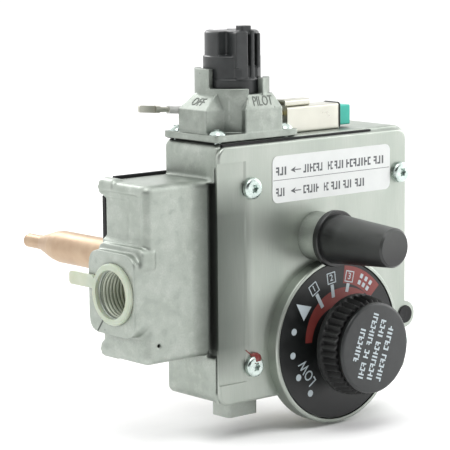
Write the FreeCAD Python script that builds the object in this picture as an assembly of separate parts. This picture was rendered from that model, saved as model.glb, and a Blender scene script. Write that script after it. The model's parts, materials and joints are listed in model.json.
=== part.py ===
import FreeCAD, Part
import math
import os

# Combination gas control of a storage water heater: the cast body, its front cover with the
# temperature dial and the pressure regulator, the gas cock with its guard on top, and the rod-and-tube
# thermostat that reaches into the tank.
# Frame, in mm: the origin is on the tank shank's axis, in the plane of the body's back face.
# +Y runs along the shank into the tank, so the dial faces -Y. The gas inlet is on -X, the cock on +Z.

V = FreeCAD.Vector

# --- driving dimensions -------------------------------------------------------------------------
# front cover and body
COVER_LEFT, COVER_RIGHT = -52.0, 58.5
COVER_BOTTOM, COVER_TOP = -42.0, 68.3
COVER_FRONT, COVER_THICKNESS = -37.0, 1.8
COVER_MARGIN = 14.7          # width of the strip down the cover's left edge that slopes back
COVER_SET_BACK = 0.9
STRIP_BOTTOM, STRIP_TOP = -33.0, 61.5
BODY_FRONT, BODY_BACK = -34.0, -2.0
BODY_RIGHT, BODY_BOTTOM, BODY_TOP = 58.0, -41.3, 69.8
BODY_CORNER = 4.0
GASKET_FRONT = COVER_FRONT + COVER_THICKNESS

# wing that carries the gas inlet
WING_LEFT, WING_BOTTOM, WING_TOP = -86.5, -20.5, 54.5
WING_FRONT = -30.8
WING_CORNER, WING_EDGE = 3.6, 3.0
FLARE_RADIUS, FLARE_ANGLE = 13.6, 40.0       # the wing sweeps forward to the cover's edge
GAP_LEFT, GAP_RIGHT, GAP_BACK = -54.0, -50.2, -28.5      # the gap beside and under the cover's edge
GAP_BOTTOM, GAP_TOP = -21.5, 53.0
PAD_LEFT = -92.5
PAD_BOTTOM, PAD_TOP = -8.5, 26.5
PAD_CORNER = 6.0
PLATE_LEFT = -84.5
LUG_LEFT, LUG_RIGHT, LUG_FRONT = -87.0, -79.0, -9.0
UPPER_LUG, LOWER_LUG = (48.0, 55.7), (-20.8, -13.0)
INLET_Y, INLET_Z = -17.0, 9.0
NPT_HALF_RADIUS = 9.886      # 1/2-14 NPT, pitch radius
INLET_DEPTH = 20.0

# tank shank, immersion tube and rod
NPT_THREE_QUARTER_RADIUS = 13.34
SHANK_LENGTH = 36.0
TUBE_RADIUS, TUBE_WALL = 8.0, 0.8
TUBE_SHOULDER, TUBE_NECK, TUBE_TIP = 143.0, 160.0, 174.0
NECK_RADIUS = 3.5
ROD_RADIUS = 2.5

# dial
DIAL_X, DIAL_Z = 11.6, -21.1
DIAL_RING_OUTER, DIAL_RING_INNER = 36.5, 34.9
DIAL_RING_FRONT = -42.3
SCALE_RADIUS, SCALE_FRONT, SCALE_THICKNESS = 34.3, -42.0, 1.5
KNOB_RADIUS, KNOB_BACK, KNOB_FRONT = 22.1, -51.6, -65.4
KNOB_RIM_RADIUS, KNOB_NECK = 19.7, 12.0
TEETH_ROOT, KNOB_GROOVE = 20.0, 18.9
KNOB_TEETH, TEETH_BACK, TEETH_FRONT = 40, -54.4, -61.6
DIAL_SHAFT_RADIUS = 3.5

# regulator
REG_X, REG_Z = 3.2, 25.7
TOWER_RADIUS, TOWER_FRONT = 10.6, -48.0
CAP_FLANGE_RADIUS, CAP_BASE_RADIUS, CAP_TIP_RADIUS = 12.3, 10.7, 8.4
CAP_FLANGE_FRONT, CAP_TIP = -50.7, -85.5
REG_POCKET_RADIUS = 11.0

# gas cock, guard and safety valve
COCK_X, COCK_Y = -28.0, -18.3
FLANGE_BOTTOM, FLANGE_TOP = 70.1, 73.0
FLANGE_LEFT, FLANGE_RIGHT, FLANGE_FRONT, FLANGE_BACK = -52.0, -5.5, -35.6, -1.1
BARREL_OUTER, BARREL_INNER, BARREL_FLOOR = 16.0, 13.1, 74.0
BARREL_RIM, NOTCH_RIM = 91.5, 89.0
LEFT_PRONG_TOP, RIGHT_PRONG_TOP = 99.6, 95.5
BLOCK_SHOULDER, BLOCK_CREST = 82.7, 89.0
PILOT_FACE, PILOT_CREST = -35.4, -33.2       # the front block's upright face, and its slope's upper edge
GRIP_COLLAR, GRIP_SKIRT, GRIP_UPPER = 12.7, 12.3, 11.6
GRIP_BOTTOM, GRIP_COLLAR_TOP, GRIP_STEP, GRIP_TOP = 79.0, 95.2, 104.9, 115.3
GRIP_CLEAR_HEIGHT = 99.9
GRIP_HOLLOW, GRIP_HOLLOW_TOP = 10.7, 100.0
STEM_RADIUS = 2.5
RUNNING_CLEARANCE = 0.08
CHAMBER_RADIUS = 8.0
SAFETY_SEAT_BOTTOM = 24.5

# small parts
SCREW_HEAD_RADIUS, SCREW_HEAD_HEIGHT, SCREW_SHANK = 4.65, 2.4, 1.85
COVER_SCREWS = [(-33.9, 49.8), (54.0, 49.0), (-33.5, -26.7)]
BONNET_SCREWS = [(-47.7, -31.7), (-10.2, -31.7), (-47.7, -5.0), (-10.2, -5.0)]
BACK_SCREWS = [(-74.0, -15.5), (-74.0, 50.0), (36.0, -14.0), (36.0, 49.5)]
EAR_X, EAR_Z, EAR_RADIUS, EAR_HOLE = 57.8, -16.2, 6.0, 3.2
OUTLET_X, OUTLET_Y, OUTLET_BOTTOM, OUTLET_BORE = 30.0, -18.0, -51.0, 7.96
PILOT_X, PILOT_BOTTOM, PILOT_BORE = 7.0, -48.0, 5.2
PORT_BOTTOM, PORT_TOP, PORT_BORE = -51.5, -44.0, 4.1

# thermostat lever: it lies on the line from the dial's axis through the rod to the main valve
LEVER_ARM = math.hypot(DIAL_X, DIAL_Z)
LEVER_DX, LEVER_DZ = -DIAL_X / LEVER_ARM, -DIAL_Z / LEVER_ARM
VALVE_OFFSET = 8.44
VALVE_X, VALVE_Z = VALVE_OFFSET * LEVER_DX, VALVE_OFFSET * LEVER_DZ
LEVER_FRONT, LEVER_BACK = -16.9, -15.3
LEVER_ROLL_RADIUS = 1.1
POCKET_BACK = -12.0
POCKET_HALF_WIDTH = 7.5
CHANNEL_X = -14.5            # drilled way from the cock down to the thermostat pocket

parts = {}


# --- helpers ------------------------------------------------------------------------------------
def box(x0, x1, y0, y1, z0, z1):
    return Part.makeBox(x1 - x0, y1 - y0, z1 - z0, V(x0, y0, z0))


def cyl_x(x0, x1, y, z, r):
    return Part.makeCylinder(r, x1 - x0, V(x0, y, z), V(1, 0, 0))


def cyl_y(y0, y1, x, z, r):
    return Part.makeCylinder(r, y1 - y0, V(x, y0, z), V(0, 1, 0))


def cyl_z(z0, z1, x, y, r):
    return Part.makeCylinder(r, z1 - z0, V(x, y, z0), V(0, 0, 1))


def cut(shape, tools):
    return shape.cut(Part.makeCompound(tools)) if len(tools) == 1 else shape.cut(tools)


def fuse(shapes):
    return shapes[0].multiFuse(shapes[1:]).removeSplitter()


def edges_along(shape, axis):
    """Straight edges of a shape that run along a row axis: 0 for X, 1 for Y, 2 for Z."""
    found = []
    for edge in shape.Edges:
        if len(edge.Vertexes) != 2:
            continue
        step = edge.Vertexes[1].Point - edge.Vertexes[0].Point
        others = [abs(step[i]) for i in range(3) if i != axis]
        if abs(step[axis]) > 0.01 and max(others) < 1e-6:
            found.append(edge)
    return found


def rounded_box(x0, x1, y0, y1, z0, z1, axis, radius):
    """A box with its four edges along one axis rounded."""
    block = box(x0, x1, y0, y1, z0, z1)
    return block.makeFillet(radius, edges_along(block, axis))


def turned(points, centre, axis):
    """A solid of revolution. Points are (radius, distance along the axis)."""
    x, y, z = centre
    if axis == "y":
        corners = [V(x + r, h, z) for r, h in points]
        direction = V(0, 1, 0)
    elif axis == "z":
        corners = [V(x + r, y, h) for r, h in points]
        direction = V(0, 0, 1)
    else:
        corners = [V(h, y + r, z) for r, h in points]
        direction = V(1, 0, 0)
    outline = Part.makePolygon(corners + corners[:1])
    return Part.Face(outline).revolve(V(x, y, z), direction, 360)


def coil_z(x, y, z0, z1, radius, wire, turns):
    """A helical spring whose axis is vertical."""
    pitch = (z1 - z0 - 2 * wire) / turns
    helix = Part.makeHelix(pitch, z1 - z0 - 2 * wire, radius)
    section = Part.Wire([Part.makeCircle(wire, V(radius, 0, 0), V(0, 1, 0))])
    solid = Part.Wire(helix.Edges).makePipeShell([section], True, True)
    solid.translate(V(x, y, z0 + wire))
    return solid


def coil_y(x, z, y0, y1, radius, wire, turns):
    """A helical spring whose axis runs along Y."""
    solid = coil_z(0, 0, y0, y1, radius, wire, turns)
    solid.rotate(V(0, 0, 0), V(1, 0, 0), -90)
    solid.translate(V(x, 0, z))
    return solid


def hexagon_z(z0, z1, x, y, across_flats):
    """A hexagonal prism with two flats facing along X."""
    r = across_flats / math.sqrt(3)
    corners = [V(x + r * math.cos(math.radians(30 + 60 * i)), y + r * math.sin(math.radians(30 + 60 * i)), z0)
               for i in range(6)]
    return Part.Face(Part.makePolygon(corners + corners[:1])).extrude(V(0, 0, z1 - z0))


def torx_recess_y(x, z, front, depth):
    """The six-lobed socket of a screw that faces -Y."""
    lobes = [cyl_y(front, front + depth, x, z, 1.55)]
    for i in range(6):
        a = math.radians(60 * i)
        lobes.append(cyl_y(front, front + depth, x + 1.5 * math.cos(a), z + 1.5 * math.sin(a), 0.5))
    return fuse(lobes)


# --- valve body ---------------------------------------------------------------------------------
def wing_block():
    """The wing, with a rounded outer corner and a hollow sweep up to the cover's edge."""
    angle = math.radians(FLARE_ANGLE)
    start = COVER_LEFT - FLARE_RADIUS * math.sin(angle)

    def on_flare(a):
        return V(start + FLARE_RADIUS * math.sin(a), WING_FRONT - FLARE_RADIUS * (1 - math.cos(a)), WING_BOTTOM)

    sweep = Part.Arc(on_flare(0), on_flare(angle / 2), on_flare(angle)).toShape()
    turn = WING_CORNER * (1 - math.sqrt(0.5))
    corner = Part.Arc(V(WING_LEFT, WING_FRONT + WING_CORNER, WING_BOTTOM),
                      V(WING_LEFT + turn, WING_FRONT + turn, WING_BOTTOM),
                      V(WING_LEFT + WING_CORNER, WING_FRONT, WING_BOTTOM)).toShape()
    inner = COVER_LEFT + 10
    sides = [Part.makePolygon([V(WING_LEFT + WING_CORNER, WING_FRONT, WING_BOTTOM), on_flare(0)]),
             Part.makePolygon([on_flare(angle), V(inner, on_flare(angle).y, WING_BOTTOM),
                               V(inner, BODY_BACK, WING_BOTTOM), V(WING_LEFT, BODY_BACK, WING_BOTTOM),
                               V(WING_LEFT, WING_FRONT + WING_CORNER, WING_BOTTOM)])]
    outline = Part.Wire(Part.__sortEdges__([sweep, corner] + sides[0].Edges + sides[1].Edges))
    wing = Part.Face(outline).extrude(V(0, 0, WING_TOP - WING_BOTTOM))
    rim = [e for e in wing.Edges if e.BoundBox.ZLength < 0.1 and e.BoundBox.XMax < COVER_LEFT + 0.1
           and e.BoundBox.YMin < BODY_BACK - 0.1]
    return wing.makeFillet(WING_EDGE, rim)


def back_lug(span):
    """A corner boss of the wing that reaches back past the plate's edge."""
    return rounded_box(LUG_LEFT, LUG_RIGHT, LUG_FRONT, 0, span[0], span[1], 1, 3.4)


def body_outside():
    main = rounded_box(COVER_LEFT, BODY_RIGHT, BODY_FRONT, BODY_BACK, BODY_BOTTOM, BODY_TOP, 1, BODY_CORNER)
    pad = rounded_box(PAD_LEFT, WING_LEFT + 5, WING_FRONT, 0, PAD_BOTTOM, PAD_TOP, 0, PAD_CORNER)
    shelf = rounded_box(WING_LEFT - 2.2, WING_LEFT + 5, WING_FRONT - 0.7, BODY_BACK, PAD_TOP - 8, PAD_TOP + 2.5,
                        0, 3.0)
    lugs = [back_lug(UPPER_LUG), back_lug(LOWER_LUG)]
    return fuse([main, wing_block(), pad, shelf] + lugs + corner_pads())


def corner_pads():
    """The four raised pads that the cover's corners stand on, where the gasket stops."""
    y0, y1 = GASKET_FRONT, BODY_FRONT + 0.5
    return [box(COVER_LEFT + 0.4, -48.4, y0, y1, 59.9, BODY_TOP - 1.6),
            box(COVER_LEFT + 0.4, -48.4, y0, y1, BODY_BOTTOM + 0.4, -36.9),
            box(38.4, BODY_RIGHT - 0.2, y0, y1, 59.9, BODY_TOP - 1.6),
            box(56.4, BODY_RIGHT - 0.2, y0, y1, BODY_BOTTOM + 0.4, -36.9)]


def casting_recesses():
    """Panels in the wing's end, a vent hole and the gap beside the cover's edge."""
    panel = rounded_box(WING_LEFT - 1, WING_LEFT + 1.1, -28.0, -0.5, 30.0, 50.5, 0, 3.5)
    deeper = rounded_box(WING_LEFT - 1, WING_LEFT + 2.0, -18.4, -0.5, 30.8, 47.9, 0, 2.0)
    vent = cyl_y(WING_FRONT - 1, WING_FRONT + 4, -79.5, -12.5, 0.9)
    gap = box(GAP_LEFT, GAP_RIGHT, GASKET_FRONT - 1, GAP_BACK, GAP_BOTTOM, GAP_TOP)
    return [panel, deeper, vent, gap]


def thermostat_pocket(front, back, half_width):
    """The slot in the front face that holds the lever: it runs from the dial's axis to the main valve."""
    span = LEVER_ARM + VALVE_OFFSET
    bar = box(-half_width, half_width, front, back, 0, span)
    bar.rotate(V(0, 0, 0), V(0, 1, 0), -math.degrees(math.atan2(-LEVER_DX, LEVER_DZ)))
    bar.translate(V(DIAL_X, 0, DIAL_Z))
    ends = [cyl_y(front, back, DIAL_X, DIAL_Z, half_width + 0.5), cyl_y(front, back, VALVE_X, VALVE_Z, half_width)]
    return fuse([bar] + ends)


def gas_ways():
    """Everything that is bored into the casting, in the order in which the gas meets it."""
    inlet = cyl_x(PAD_LEFT, PAD_LEFT + INLET_DEPTH, INLET_Y, INLET_Z, NPT_HALF_RADIUS)
    inlet_way = cyl_x(PAD_LEFT + INLET_DEPTH, COCK_X, INLET_Y, INLET_Z, 7.0)
    chamber = cyl_z(-30.0, 28.0, COCK_X, COCK_Y, CHAMBER_RADIUS)
    throat = cyl_z(28.0, 34.0, COCK_X, COCK_Y, 6.0)
    cone = turned([(0, 33.7), (7.8, 33.7), (9.8, 56.0), (9.8, BODY_TOP), (0, BODY_TOP)], (COCK_X, COCK_Y, 0), "z")
    contact_way = cyl_z(BODY_BOTTOM, -30.0, COCK_X, COCK_Y, 3.6)
    cock_port = cyl_x(COCK_X + 5, CHANNEL_X, COCK_Y, 46.0, 3.0)
    down = cyl_z(4.0, 48.0, CHANNEL_X, COCK_Y, 3.2)
    to_pocket = cyl_x(CHANNEL_X, -6.0, COCK_Y, 6.5, 2.8)
    pilot = [cyl_z(-36.0, 4.0, CHANNEL_X, COCK_Y, 1.2), cyl_x(CHANNEL_X, PILOT_X, COCK_Y, -36.0, 1.2),
             cyl_z(BODY_BOTTOM, -35.0, PILOT_X, COCK_Y, 1.6)]
    behind_seat = cyl_y(POCKET_BACK, -7.6, VALVE_X, VALVE_Z, 3.6)
    reach = V(REG_X - VALVE_X, 0, REG_Z - VALVE_Z)
    to_regulator = Part.makeCylinder(2.5, reach.Length, V(VALVE_X, -7.7, VALVE_Z), reach)
    reg_pocket = cyl_y(BODY_FRONT, -29.9, REG_X, REG_Z, REG_POCKET_RADIUS)
    reg_chamber = cyl_y(-29.9, -16.0, REG_X, REG_Z, 9.5)
    reg_seat = cyl_y(-16.0, -11.0, REG_X, REG_Z, 3.6)
    reg_back = cyl_y(-11.0, BODY_BACK, REG_X, REG_Z, 6.5)
    out_across = cyl_x(REG_X + 5, OUTLET_X, OUTLET_Y, REG_Z, 4.0)
    out_down = cyl_z(BODY_BOTTOM, REG_Z + 2, OUTLET_X, OUTLET_Y, 4.5)
    rod_way = cyl_y(POCKET_BACK, -4.5, 0, 0, 3.0)
    shank_seat = cyl_y(-4.5, BODY_BACK, 0, 0, 9.05)
    tap = cyl_x(BODY_RIGHT - 8, BODY_RIGHT, OUTLET_Y, 12.0, 4.9)
    tap_way = cyl_x(OUTLET_X, BODY_RIGHT - 8, OUTLET_Y, 12.0, 1.5)
    return [inlet, inlet_way, chamber, throat, cone, contact_way, cock_port, down, to_pocket, behind_seat,
            to_regulator, reg_pocket, reg_chamber, reg_seat, reg_back, out_across, out_down, rod_way,
            shank_seat, tap, tap_way] + pilot


def screw_holes():
    front = [cyl_y(GASKET_FRONT - 1, -28.5, x, z, SCREW_SHANK) for x, z in COVER_SCREWS]
    top = [cyl_z(62.0, BODY_TOP, x, y, 1.6) for x, y in BONNET_SCREWS]
    back = [cyl_y(-9.0, BODY_BACK, x, z, 1.6) for x, z in BACK_SCREWS]
    return front + top + back


def valve_body():
    pocket = thermostat_pocket(BODY_FRONT, POCKET_BACK, POCKET_HALF_WIDTH)
    return cut(body_outside(), casting_recesses() + [pocket] + gas_ways() + screw_holes())


# --- front cover, its gasket, screws and label --------------------------------------------------
def front_cover():
    back = GASKET_FRONT
    plate = rounded_box(COVER_LEFT, COVER_RIGHT, COVER_FRONT, back, COVER_BOTTOM, COVER_TOP, 1, 5.0)
    rim = [e for e in plate.Edges if e.BoundBox.YMax < COVER_FRONT + 0.01]
    plate = plate.makeFillet(1.1, rim)
    strip_right = COVER_LEFT + COVER_MARGIN
    strip = Part.Face(Part.makePolygon([
        V(COVER_LEFT - 1, COVER_FRONT - 1, STRIP_BOTTOM),
        V(strip_right + 1.2, COVER_FRONT - 1, STRIP_BOTTOM),
        V(strip_right + 0.6, COVER_FRONT, STRIP_BOTTOM),
        V(strip_right - 0.6, COVER_FRONT + 0.4 * COVER_SET_BACK, STRIP_BOTTOM),
        V(COVER_LEFT - 1, COVER_FRONT + COVER_SET_BACK, STRIP_BOTTOM),
        V(COVER_LEFT - 1, COVER_FRONT - 1, STRIP_BOTTOM)]))
    strip = strip.extrude(V(0, 0, STRIP_TOP - STRIP_BOTTOM))
    ear = fuse([cyl_y(COVER_FRONT, back, EAR_X, EAR_Z, EAR_RADIUS),
                box(EAR_X - 8, EAR_X, COVER_FRONT, back, EAR_Z - EAR_RADIUS, EAR_Z + EAR_RADIUS)])
    ring = cyl_y(DIAL_RING_FRONT, back, DIAL_X, DIAL_Z, DIAL_RING_OUTER)
    lip = [e for e in ring.Edges if e.BoundBox.YMax < DIAL_RING_FRONT + 0.01]
    ring = ring.makeFillet(0.7, lip)
    well = cyl_y(DIAL_RING_FRONT - 1, COVER_FRONT, DIAL_X, DIAL_Z, DIAL_RING_INNER)
    pointer = Part.Face(Part.makePolygon([
        V(DIAL_X - 1.6, DIAL_RING_FRONT - 0.4, DIAL_Z + DIAL_RING_OUTER - 0.2),
        V(DIAL_X + 1.6, DIAL_RING_FRONT - 0.4, DIAL_Z + DIAL_RING_OUTER - 0.2),
        V(DIAL_X, DIAL_RING_FRONT - 0.4, DIAL_Z + DIAL_RING_INNER + 0.1),
        V(DIAL_X - 1.6, DIAL_RING_FRONT - 0.4, DIAL_Z + DIAL_RING_OUTER - 0.2)])).extrude(V(0, 1.5, 0))
    holes = [cyl_y(COVER_FRONT - 1, back, x, z, SCREW_SHANK + 0.4) for x, z in COVER_SCREWS]
    holes.append(cyl_y(COVER_FRONT - 1, back, EAR_X, EAR_Z, EAR_HOLE))
    holes.append(cyl_y(COVER_FRONT - 1, back, DIAL_X, DIAL_Z, 6.05))
    holes.append(cyl_y(COVER_FRONT - 6, back, REG_X, REG_Z, TOWER_RADIUS + 0.05))
    return cut(fuse([cut(fuse([cut(plate, [strip]), ear, ring]), [well]), pointer]), holes)


def cover_gasket():
    sheet = fuse([box(-50.0, 56.0, GASKET_FRONT, BODY_FRONT, -36.5, 59.5),
                  box(-48.0, 38.0, GASKET_FRONT, BODY_FRONT, -36.5, 69.2)])
    holes = [cyl_y(GASKET_FRONT, BODY_FRONT, x, z, SCREW_SHANK + 0.4) for x, z in COVER_SCREWS]
    holes.append(cyl_y(GASKET_FRONT, BODY_FRONT, REG_X, REG_Z, REG_POCKET_RADIUS + 0.1))
    holes.append(thermostat_pocket(GASKET_FRONT, BODY_FRONT, POCKET_HALF_WIDTH))
    return cut(sheet, holes)


def cover_screws():
    screws = []
    for x, z in COVER_SCREWS:
        head = cyl_y(COVER_FRONT - SCREW_HEAD_HEIGHT, COVER_FRONT, x, z, SCREW_HEAD_RADIUS)
        crown = [e for e in head.Edges if e.BoundBox.YMax < COVER_FRONT - 0.1]
        head = head.makeFillet(1.3, crown)
        head = cut(head, [torx_recess_y(x, z, COVER_FRONT - SCREW_HEAD_HEIGHT - 0.1, 1.5)])
        screws.append(fuse([head, cyl_y(COVER_FRONT - 0.5, -28.6, x, z, SCREW_SHANK)]))
    return Part.makeCompound(screws)


def label_plate():
    return rounded_box(-22.0, 48.0, COVER_FRONT - 0.25, COVER_FRONT, 42.0, 62.2, 1, 3.0)


# --- back plate, tank shank and rod-and-tube element ---------------------------------------------
def back_plate():
    """The plate behind the casting, notched round the pad and the two lugs."""
    gap = 0.1
    plate = rounded_box(PLATE_LEFT, 42.0, BODY_BACK, 0, -20.2, 55.7, 1, 1.0)
    holes = [cyl_y(BODY_BACK, 0, x, z, 1.9) for x, z in BACK_SCREWS]
    notches = [box(PLATE_LEFT - 1, LUG_RIGHT + gap, BODY_BACK, 0, UPPER_LUG[0] - gap, UPPER_LUG[1] + 1),
               box(PLATE_LEFT - 1, LUG_RIGHT + gap, BODY_BACK, 0, LOWER_LUG[0] - 1, LOWER_LUG[1] + gap),
               box(PLATE_LEFT - 1, WING_LEFT + 5 + gap, BODY_BACK, 0, PAD_BOTTOM - gap, PAD_TOP + gap)]
    return cut(plate, holes + notches + [cyl_y(BODY_BACK, 0, 0, 0, 12.6)])


def back_screws():
    screws = []
    for x, z in BACK_SCREWS:
        head = cyl_y(0, 2.0, x, z, 3.4)
        crown = [e for e in head.Edges if e.BoundBox.YMin > 1.9]
        head = cut(head.makeFillet(1.0, crown), [box(x - 2.2, x + 2.2, 1.1, 2.1, z - 0.5, z + 0.5)])
        screws.append(fuse([head, cyl_y(-8.9, 0.5, x, z, 1.6)]))
    return Part.makeCompound(screws)


def tank_shank():
    chamfer = 1.0
    return turned([(3.2, -4.5), (9.0, -4.5), (9.0, -2.0), (12.5, -2.0), (12.5, 0.0),
                   (NPT_THREE_QUARTER_RADIUS, 0.0), (NPT_THREE_QUARTER_RADIUS, SHANK_LENGTH),
                   (NPT_THREE_QUARTER_RADIUS - chamfer, SHANK_LENGTH + chamfer), (TUBE_RADIUS + 0.05, 37.0),
                   (TUBE_RADIUS + 0.05, 6.0), (3.2, 6.0)], (0, 0, 0), "y")


def immersion_tube():
    inner = TUBE_RADIUS - TUBE_WALL
    return turned([(inner, 8.0), (TUBE_RADIUS, 8.0), (TUBE_RADIUS, TUBE_SHOULDER), (7.3, TUBE_SHOULDER + 5),
                   (NECK_RADIUS + 0.3, TUBE_NECK), (NECK_RADIUS, TUBE_NECK + 4), (NECK_RADIUS, TUBE_TIP - 1.5),
                   (NECK_RADIUS - 1.5, TUBE_TIP), (0, TUBE_TIP), (0, TUBE_TIP - 3), (2.9, TUBE_TIP - 3),
                   (2.9, TUBE_NECK - 2), (inner, TUBE_SHOULDER)], (0, 0, 0), "y")


def thermostat_rod():
    return turned([(0, -15.1), (1.6, -15.1), (ROD_RADIUS, -14.2), (ROD_RADIUS, 168.0), (0, 168.0)], (0, 0, 0), "y")


# --- thermostat mechanism behind the dial --------------------------------------------------------
def thermostat_lever():
    """A flat lever that rocks on the rolled bead across its lower end."""
    bar = rounded_box(-4.0, 4.0, LEVER_FRONT, LEVER_BACK, -5.0, LEVER_ARM + VALVE_OFFSET + 5.5, 1, 3.0)
    bar = cut(bar, [cyl_y(LEVER_FRONT, LEVER_BACK, 0, LEVER_ARM + VALVE_OFFSET, 2.2)])
    bar = fuse([bar, cyl_x(-3.9, 3.9, (LEVER_FRONT + LEVER_BACK) / 2, 0, LEVER_ROLL_RADIUS)])
    bar.rotate(V(0, 0, 0), V(0, 1, 0), -math.degrees(math.atan2(-LEVER_DX, LEVER_DZ)))
    bar.translate(V(DIAL_X, 0, DIAL_Z))
    return bar


def main_valve_seat():
    return turned([(3.6, POCKET_BACK), (5.6, POCKET_BACK), (5.6, -13.1), (4.6, -13.6), (3.6, -13.6)],
                  (VALVE_X, 0, VALVE_Z), "y")


def main_valve_disc():
    return turned([(0, -13.65), (5.6, -13.65), (5.6, -14.8), (0, -14.8)], (VALVE_X, 0, VALVE_Z), "y")


def main_valve_stem():
    return turned([(0, -14.8), (1.2, -14.8), (1.2, -17.3), (3.4, -17.3), (3.4, -18.1), (1.2, -18.1),
                   (1.2, -21.5), (0, -21.5)], (VALVE_X, 0, VALVE_Z), "y")


def snap_disc():
    return turned([(1.2, -18.9), (3.6, -18.7), (6.6, -18.2), (6.6, -18.7), (3.6, -19.2), (1.2, -19.4)],
                  (VALVE_X, 0, VALVE_Z), "y")


def dial_bushing():
    bore = DIAL_SHAFT_RADIUS + RUNNING_CLEARANCE
    return turned([(bore, -38.5), (9.0, -38.5), (9.0, COVER_FRONT), (6.0, COVER_FRONT), (6.0, -30.0),
                   (bore, -30.0)], (DIAL_X, 0, DIAL_Z), "y")


def dial_shaft():
    return turned([(0, -59.0), (DIAL_SHAFT_RADIUS, -59.0), (DIAL_SHAFT_RADIUS, -24.0), (2.0, -24.0),
                   (2.0, -40.0), (0, -40.0)], (DIAL_X, 0, DIAL_Z), "y")


def adjusting_screw():
    r = 2.0 - RUNNING_CLEARANCE
    return turned([(0, -39.0), (r, -39.0), (r, -18.6), (0.9, -17.65), (0, -17.65)], (DIAL_X, 0, DIAL_Z), "y")


def dial_scale():
    return turned([(DIAL_SHAFT_RADIUS, SCALE_FRONT), (SCALE_RADIUS, SCALE_FRONT),
                   (SCALE_RADIUS, SCALE_FRONT + SCALE_THICKNESS), (DIAL_SHAFT_RADIUS, SCALE_FRONT + SCALE_THICKNESS)],
                  (DIAL_X, 0, DIAL_Z), "y")


def dial_knob():
    """A hollow knob: a plain skirt, a tapering toothed band, a groove and a rim round its face."""
    rim, root, groove = KNOB_RIM_RADIUS, TEETH_ROOT, KNOB_GROOVE
    blank = turned([(0, KNOB_FRONT), (rim - 0.9, KNOB_FRONT), (rim, KNOB_FRONT + 0.9), (rim, KNOB_FRONT + 1.7),
                    (groove, TEETH_FRONT - 0.6), (groove, TEETH_FRONT), (root, TEETH_FRONT), (root, TEETH_BACK),
                    (KNOB_RADIUS, TEETH_BACK), (KNOB_RADIUS, KNOB_BACK - 0.6), (KNOB_RADIUS - 0.6, KNOB_BACK),
                    (KNOB_NECK, KNOB_BACK), (KNOB_NECK, SCALE_FRONT), (KNOB_NECK - 2, SCALE_FRONT),
                    (KNOB_NECK - 2, -61.9), (6.5, -61.9),
                    (6.5, -44.0), (0, -44.0)], (DIAL_X, 0, DIAL_Z), "y")
    corners = []
    for i in range(2 * KNOB_TEETH):
        r = KNOB_RADIUS + 0.8 if i % 2 == 0 else root + 0.1
        a = math.pi * i / KNOB_TEETH
        corners.append(V(DIAL_X + r * math.cos(a), TEETH_BACK, DIAL_Z + r * math.sin(a)))
    teeth = Part.Face(Part.makePolygon(corners + corners[:1])).extrude(V(0, TEETH_FRONT - TEETH_BACK, 0))
    taper = turned([(19.6, TEETH_FRONT), (20.7, TEETH_FRONT), (KNOB_RADIUS - 0.1, TEETH_BACK), (19.6, TEETH_BACK)],
                   (DIAL_X, 0, DIAL_Z), "y")
    bore = cyl_y(-59.0, -40.0, DIAL_X, DIAL_Z, DIAL_SHAFT_RADIUS)
    return cut(fuse([blank, teeth.common(taper)]), [bore])


# --- regulator ----------------------------------------------------------------------------------
def regulator_tower():
    return turned([(8.6, TOWER_FRONT), (TOWER_RADIUS - 0.6, TOWER_FRONT), (TOWER_RADIUS, TOWER_FRONT + 0.6),
                   (TOWER_RADIUS, -31.0), (8.6, -31.0)], (REG_X, 0, REG_Z), "y")


def regulator_cap():
    flange_back = TOWER_FRONT - 0.1
    return turned([(0, CAP_TIP), (CAP_TIP_RADIUS - 0.9, CAP_TIP), (CAP_TIP_RADIUS, CAP_TIP + 0.9),
                   (CAP_BASE_RADIUS, CAP_FLANGE_FRONT), (CAP_FLANGE_RADIUS - 0.4, CAP_FLANGE_FRONT),
                   (CAP_FLANGE_RADIUS, CAP_FLANGE_FRONT + 0.4), (CAP_FLANGE_RADIUS, flange_back),
                   (8.2, flange_back), (8.2, -42.5), (6.9, -42.5), (6.9, -82.0), (0, -82.0)],
                  (REG_X, 0, REG_Z), "y")


def conversion_plunger():
    return turned([(0, -80.0), (4.0, -80.0), (4.0, -60.0), (6.8, -60.0), (6.8, -56.5), (4.0, -56.5), (4.0, -43.5),
                   (6.2, -43.5), (6.2, -41.5), (0, -41.5)], (REG_X, 0, REG_Z), "y")


def regulator_diaphragm():
    return turned([(1.5, -29.95), (10.8, -29.95), (10.8, -30.95), (1.5, -30.95)], (REG_X, 0, REG_Z), "y")


def diaphragm_plate():
    return turned([(1.2, -31.0), (6.5, -31.0), (6.5, -31.9), (1.2, -31.9)], (REG_X, 0, REG_Z), "y")


def regulator_poppet():
    return turned([(0, -32.6), (1.2, -32.6), (1.2, -9.4), (5.2, -9.4), (5.2, -7.9), (0, -7.9)],
                  (REG_X, 0, REG_Z), "y")


# --- gas cock and safety valve -------------------------------------------------------------------
def guard_block(direction, half_base, half_crest, base, crest):
    """A raised position block: an upright part and a wedge that narrows up to the barrel.

    It is made pointing along -Y from the cock's axis and then turned to its direction in degrees.
    base and crest are the distances of the upright face and of the wedge's upper edge from the axis.
    """
    def section(half, distance, z):
        corners = [V(-half, -distance, z), V(half, -distance, z), V(half, -10.0, z), V(-half, -10.0, z)]
        return Part.makePolygon(corners + corners[:1])
    upright = Part.Face(section(half_base, base, FLANGE_BOTTOM + 1)).extrude(V(0, 0, BLOCK_SHOULDER - FLANGE_BOTTOM - 1))
    wedge = Part.makeLoft([section(half_base, base, BLOCK_SHOULDER), section(half_crest, crest, BLOCK_CREST)], True)
    block = fuse([upright, wedge])
    block.rotate(V(0, 0, 0), V(0, 0, 1), direction)
    block.translate(V(COCK_X, COCK_Y, 0))
    return block


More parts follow.
